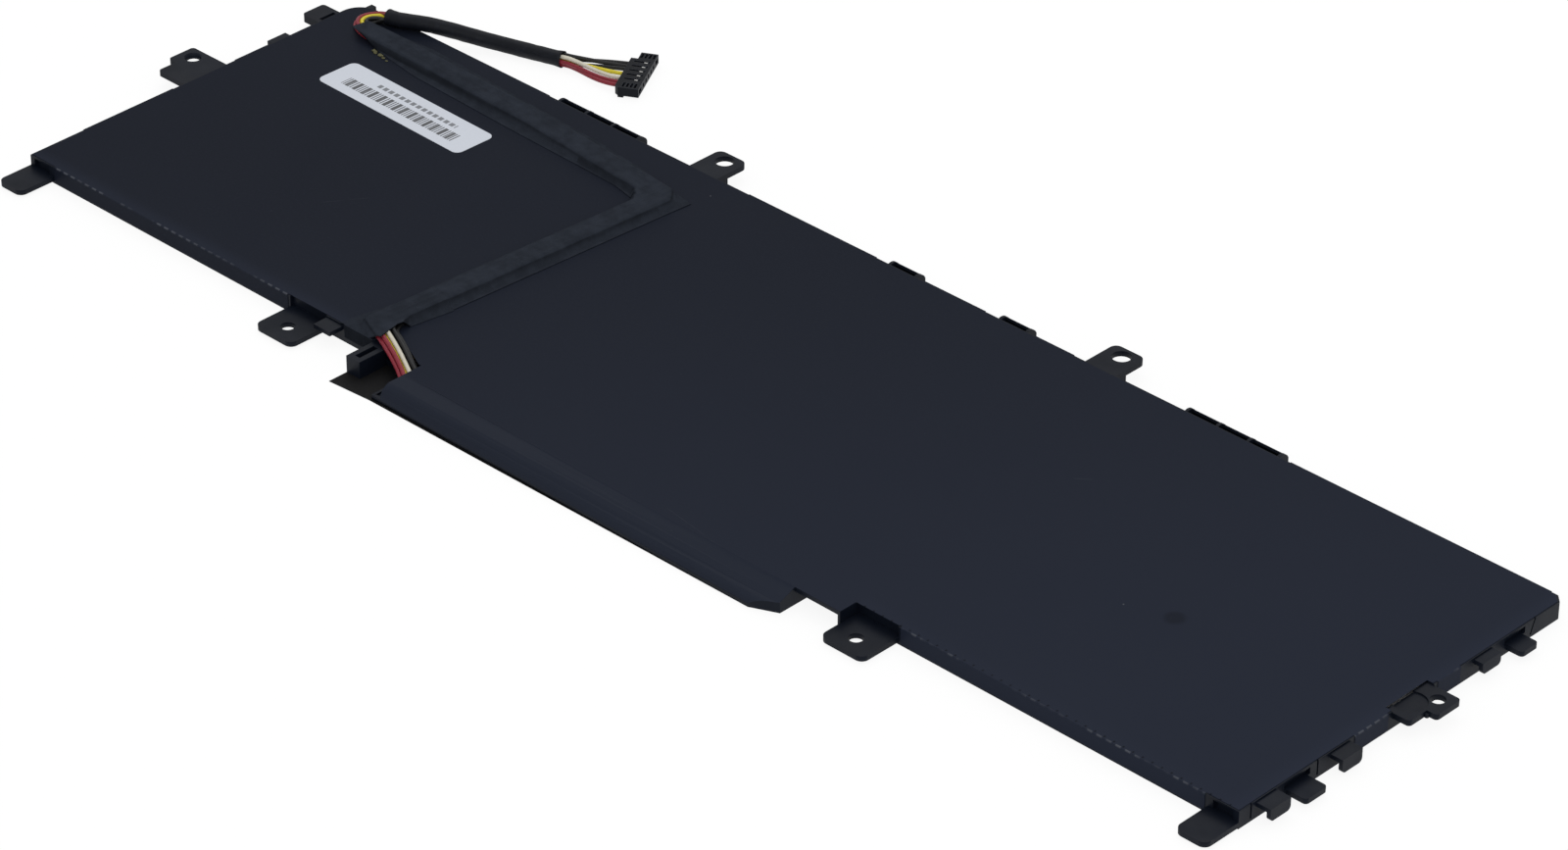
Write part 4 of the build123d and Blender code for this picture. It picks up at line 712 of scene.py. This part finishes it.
class BATTERY_OT_films(bpy.types.Operator):
    """Roll the cover film over its folds and finish both films and the barrier paper"""

    bl_idname = "battery.films"
    bl_label = "Finish the films"

    def execute(self, context):
        scene = context.scene
        finish = film_finish(scene.pack_colours, scene.pack_sizes)
        shape = welded("top_film")
        bends = [edge for edge in shape.edges if self.bend(edge)]
        round_edges(shape, bends, scene.pack_sizes.film_bend, 4)
        folds = [edge for edge in shape.edges if turning(edge) > math.radians(60) and self.folded(edge)]
        round_edges(shape, folds, scene.pack_sizes.film_fold, 3)
        piece_from(shape, "cover_film", finish, "top_film")
        dress("bottom_film", finish)
        dress("barrier_paper", paper_finish(scene.pack_colours))
        return {"FINISHED"}

    def bend(self, edge):
        """True where the cover over the bay bends gently along its length."""
        faces_up = all(face.normal.z > 0.3 for face in edge.link_faces)
        return math.radians(4) < turning(edge) < math.radians(60) and faces_up and edge.calc_length() > 0.01

    def folded(self, edge):
        """True on the film's top where a flap hangs down from it."""
        on_top = all(vertex.co.z > FILM_TOP - 0.00002 for vertex in edge.verts)
        lowest = min(vertex.co.z for face in edge.link_faces for vertex in face.verts)
        return on_top and lowest < FILM_TOP / 2


class BATTERY_OT_wires(bpy.types.Operator):
    """Lay the seven wires from the board to the plug as smooth curves"""

    bl_idname = "battery.wires"
    bl_label = "Lay the wires"

    def execute(self, context):
        scene = context.scene
        colours = scene.pack_colours
        diameter = scene.pack_sizes.wire
        finishes = {
            name: wire_finish(name + "_insulation", tuple(getattr(colours, name)))
            for name in ("red", "yellow", "white", "black")
        }
        for name, length in LENGTHS.items():
            points = lane_points(name)
            cord = cord_curve("cord_" + name, points, diameter / 2)
            cord.data.materials.append(finishes[name.split("_")[0]].material)
            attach(cord, "root")
            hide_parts("wire_" + name)
        return {"FINISHED"}


class BATTERY_OT_sleeve(bpy.types.Operator):
    """Draw the thin creased sleeve over the loose wires"""

    bl_idname = "battery.sleeve"
    bl_label = "Draw the sleeve"

    def execute(self, context):
        scene = context.scene
        sizes = scene.pack_sizes
        radius = sizes.sleeve_bore / 2 + sizes.sleeve_wall
        middle = [Vector(point[:3]) for point in ROUTE]
        line = smooth_line(middle)
        ends = [min(range(len(line)), key=lambda number: (line[number] - middle[end]).length)
                for end in (SLEEVE_START, SLEEVE_END)]
        line = line[ends[0] : ends[1] + 1]
        shape = bmesh.new()
        rings = []
        last = len(line) - 1
        for number, spot in enumerate(line):
            ahead = line[min(number + 1, last)] - line[max(number - 1, 0)]
            turn = ahead.to_track_quat("Z", "Y").to_matrix().to_4x4()
            flare = 1.0 + 0.10 * max(0.0, 1.0 - min(number, last - number) / 2)
            ring = bmesh.ops.create_circle(
                shape, cap_ends=False, radius=radius * flare, segments=24, matrix=Matrix.Translation(spot) @ turn
            )
            edges = list({edge for vertex in ring["verts"] for edge in vertex.link_edges})
            rings.append(edges)
            for vertex in ring["verts"]:
                out = vertex.co - spot
                crease = noise.noise(vertex.co * 700.0) + 0.6 * noise.noise(vertex.co * 1700.0)
                vertex.co = spot + out * (0.955 + 0.045 * crease)
        for first, second in zip(rings, rings[1:]):
            bmesh.ops.bridge_loops(shape, edges=first + second)
        bmesh.ops.recalc_face_normals(shape, faces=shape.faces)
        finish = sleeve_finish(scene.pack_colours)
        piece = piece_from(shape, "sleeve", finish, "wire_sleeve", 60.0)
        wall = piece.modifiers.new("wall", "SOLIDIFY")
        wall.thickness = sizes.sleeve_wall
        wall.offset = -1.0
        return {"FINISHED"}


class BATTERY_OT_tapes(bpy.types.Operator):
    """Soften the raised band of each piece of cloth tape and give it its weave"""

    bl_idname = "battery.tapes"
    bl_label = "Finish the tapes"

    def execute(self, context):
        scene = context.scene
        finish = tape_finish(scene.pack_colours)
        for node in ("tape_end_strip", "tape_middle_strip", "tape_corner", "tape_cross_strip", "tape_notch_patch"):
            shape = welded(node)
            crests = [edge for edge in shape.edges if turning(edge) > math.radians(15) and self.crest(edge)]
            round_edges(shape, crests, scene.pack_sizes.tape_edge, 3)
            piece_from(shape, node.replace("tape_", "cloth_"), finish, node, 50.0)
        return {"FINISHED"}

    def crest(self, edge):
        """True along the upper edges of the band's outer skin."""
        level = max(vertex.co.z for vertex in edge.verts)
        faces_up = all(face.normal.z > 0.1 for face in edge.link_faces)
        return level > FILM_TOP + 0.0012 and faces_up


class BATTERY_OT_label(bpy.types.Operator):
    """Give the label its satin paper and plain print"""

    bl_idname = "battery.label"
    bl_label = "Finish the label"

    def execute(self, context):
        dress("label", label_finish(context.scene.pack_colours))
        return {"FINISHED"}


class BATTERY_OT_plug(bpy.types.Operator):
    """Round the plug's edges with painted highlights on them and finish its housing and contacts"""

    bl_idname = "battery.plug"
    bl_label = "Finish the plug"

    def execute(self, context):
        scene = context.scene
        shape = welded("plug_housing")
        corners = [edge for edge in shape.edges if turning(edge) > math.radians(40)]
        # The rounded edges take the second slot, which holds the painted rim highlight.
        round_edges(shape, corners, scene.pack_sizes.plug_edge, 2, 1)
        finish = moulded("plug_plastic", tuple(scene.pack_colours.plug), 0.45, 0.12)
        add_rim_highlights(piece_from(shape, "plug_body", finish, "plug_housing"), "plug_rim_highlights")
        dress("plug_contacts", plated("contact_plating", tuple(scene.pack_colours.contact), 0.3, 0.35))
        return {"FINISHED"}


class BATTERY_OT_crumbs(bpy.types.Operator):
    """Leave bits of old adhesive at the tape's edge, as on the pack in the photograph"""

    bl_idname = "battery.crumbs"
    bl_label = "Add the crumbs"

    def execute(self, context):
        finish = moulded("old_adhesive", tuple(context.scene.pack_colours.crumb), 0.6, 0.3, 3000.0)
        shape = bmesh.new()
        for x, y, reach in CRUMBS:
            place = Matrix.Translation((x, y, FILM_TOP + reach * 0.25)) @ Matrix.Diagonal((1.0, 0.6, 0.3, 1.0))
            blob = bmesh.ops.create_icosphere(shape, subdivisions=2, radius=reach, matrix=place)
            for vertex in blob["verts"]:
                vertex.co += vertex.normal * noise.noise(vertex.co * 2500.0) * reach * 0.35
        piece_from(shape, "adhesive_crumbs", finish)
        return {"FINISHED"}


class BATTERY_OT_stage(bpy.types.Operator):
    """Set the pale floor, the soft lamps and the camera"""

    bl_idname = "battery.stage"
    bl_label = "Set the stage"

    def execute(self, context):
        scene = context.scene
        self.floor(scene)
        self.surroundings(scene)
        self.lamp("key", (-0.55, 0.75, 1.5), 1.6, scene.stage_settings.key_power)
        self.lamp("fill", (1.1, -1.0, 1.1), 1.4, scene.stage_settings.fill_power)
        self.camera(scene)
        scene.view_settings.view_transform = "Standard"
        return {"FINISHED"}

    def seen(self, finish):
        """One for rays that show the background, seen directly, in a gloss or through glass."""
        path = finish.node("ShaderNodeLightPath")
        rays = ("Is Camera Ray", "Is Glossy Ray", "Is Transmission Ray")
        shown = [Value(finish, path.outputs[name]) for name in rays]
        return finish.maths("MINIMUM", shown[0] + shown[1] + shown[2], 1.0)

    def floor(self, scene):
        """Large pale floor that is nearly white by itself and still takes the shadow."""
        shape = bmesh.new()
        place = Matrix.Translation((0, 0, FLOOR_LEVEL))
        bmesh.ops.create_grid(shape, x_segments=1, y_segments=1, size=FLOOR_REACH, matrix=place)
        mesh = bpy.data.meshes.new("floor")
        shape.to_mesh(mesh)
        shape.free()
        floor = bpy.data.objects.new("floor", mesh)
        scene.collection.objects.link(floor)
        finish = Finish("floor_white", (0.75, 0.75, 0.75), 0.9, 0.0)
        glow = finish.node("ShaderNodeEmission", None, {"Color": (1.0, 1.0, 1.0, 1.0), "Strength": 1.09})
        mixed = finish.node("ShaderNodeMixShader", None, {0: self.seen(finish) * 0.82})
        finish.feed(mixed.inputs[1], finish.surface.outputs[0])
        finish.feed(mixed.inputs[2], glow.outputs[0])
        finish.feed(finish.tree.nodes["Material Output"].inputs["Surface"], mixed.outputs[0])
        mesh.materials.append(finish.material)

    def surroundings(self, scene):
        """White surroundings where they are seen, and softer light from them on the pack."""
        world = bpy.data.worlds.new("studio")
        world.use_nodes = True
        scene.world = world
        tree = world.node_tree
        path = tree.nodes.new("ShaderNodeLightPath")
        strength = tree.nodes.new("ShaderNodeMapRange")
        tree.links.new(path.outputs["Is Camera Ray"], strength.inputs["Value"])
        strength.inputs["To Min"].default_value = 0.55
        strength.inputs["To Max"].default_value = 1.0
        background = tree.nodes["Background"]
        background.inputs["Color"].default_value = (1.0, 1.0, 1.0, 1.0)
        tree.links.new(strength.outputs[0], background.inputs["Strength"])

    def lamp(self, name, place, side, power):
        """Square soft lamp that looks at the pack."""
        light = bpy.data.lights.new(name, "AREA")
        light.shape = "SQUARE"
        light.size = side
        light.energy = power
        made = bpy.data.objects.new(name, light)
        made.location = place
        made.rotation_mode = "QUATERNION"
        made.rotation_quaternion = (-Vector(place)).to_track_quat("-Z", "Y")
        bpy.context.scene.collection.objects.link(made)

    def camera(self, scene):
        """Camera at the photograph's viewing angle."""
        stage = scene.stage_settings
        back = Vector(
            (
                math.sin(stage.azimuth) * math.cos(stage.elevation),
                -math.cos(stage.azimuth) * math.cos(stage.elevation),
                math.sin(stage.elevation),
            )
        )
        right = Vector((math.cos(stage.azimuth), math.sin(stage.azimuth), 0.0))
        up = back.cross(right)
        turned = right * math.cos(stage.roll) + up * math.sin(stage.roll)
        upright = up * math.cos(stage.roll) - right * math.sin(stage.roll)
        lens = bpy.data.cameras.new("camera")
        lens.lens = stage.lens
        lens.sensor_width = 36.0
        lens.clip_start = 0.05
        lens.clip_end = 30.0
        camera = bpy.data.objects.new("camera", lens)
        columns = Matrix((turned, upright, back)).transposed().to_4x4()
        camera.matrix_world = Matrix.Translation(Vector(AIM) + back * stage.distance) @ columns
        scene.collection.objects.link(camera)
        scene.camera = camera


OPERATORS = (
    BATTERY_OT_inside,
    BATTERY_OT_frame,
    BATTERY_OT_films,
    BATTERY_OT_tapes,
    BATTERY_OT_label,
    BATTERY_OT_plug,
    BATTERY_OT_sleeve,
    BATTERY_OT_wires,
    BATTERY_OT_crumbs,
    BATTERY_OT_stage,
)


class BATTERY_PT_panel(bpy.types.Panel):
    """Lists the steps, the colours and the sizes"""

    bl_idname = "BATTERY_PT_panel"
    bl_label = "Laptop battery pack"
    bl_space_type = "VIEW_3D"
    bl_region_type = "UI"
    bl_category = "Battery"

    def draw(self, context):
        layout = self.layout
        for operator in OPERATORS:
            layout.operator(operator.bl_idname)
        for group in (context.scene.pack_colours, context.scene.pack_sizes, context.scene.stage_settings):
            box = layout.box()
            for name in group.__annotations__:
                box.prop(group, name)


GROUPS = (("pack_colours", PackColours), ("pack_sizes", PackSizes), ("stage_settings", StageSettings))


def register():
    """Register the settings, the operators and the panel."""
    for name, group in GROUPS:
        bpy.utils.register_class(group)
        setattr(bpy.types.Scene, name, bpy.props.PointerProperty(type=group))
    for operator in OPERATORS:
        bpy.utils.register_class(operator)
    bpy.utils.register_class(BATTERY_PT_panel)


def unregister():
    """Take them all out again."""
    bpy.utils.unregister_class(BATTERY_PT_panel)
    for operator in reversed(OPERATORS):
        bpy.utils.unregister_class(operator)
    for name, group in reversed(GROUPS):
        delattr(bpy.types.Scene, name)
        bpy.utils.unregister_class(group)


def main():
    """Dress the pack step by step."""
    register()
    for operator in OPERATORS:
        step = operator.bl_idname.split(".")[1]
        getattr(bpy.ops.battery, step)()


if __name__ == "__main__":
    main()
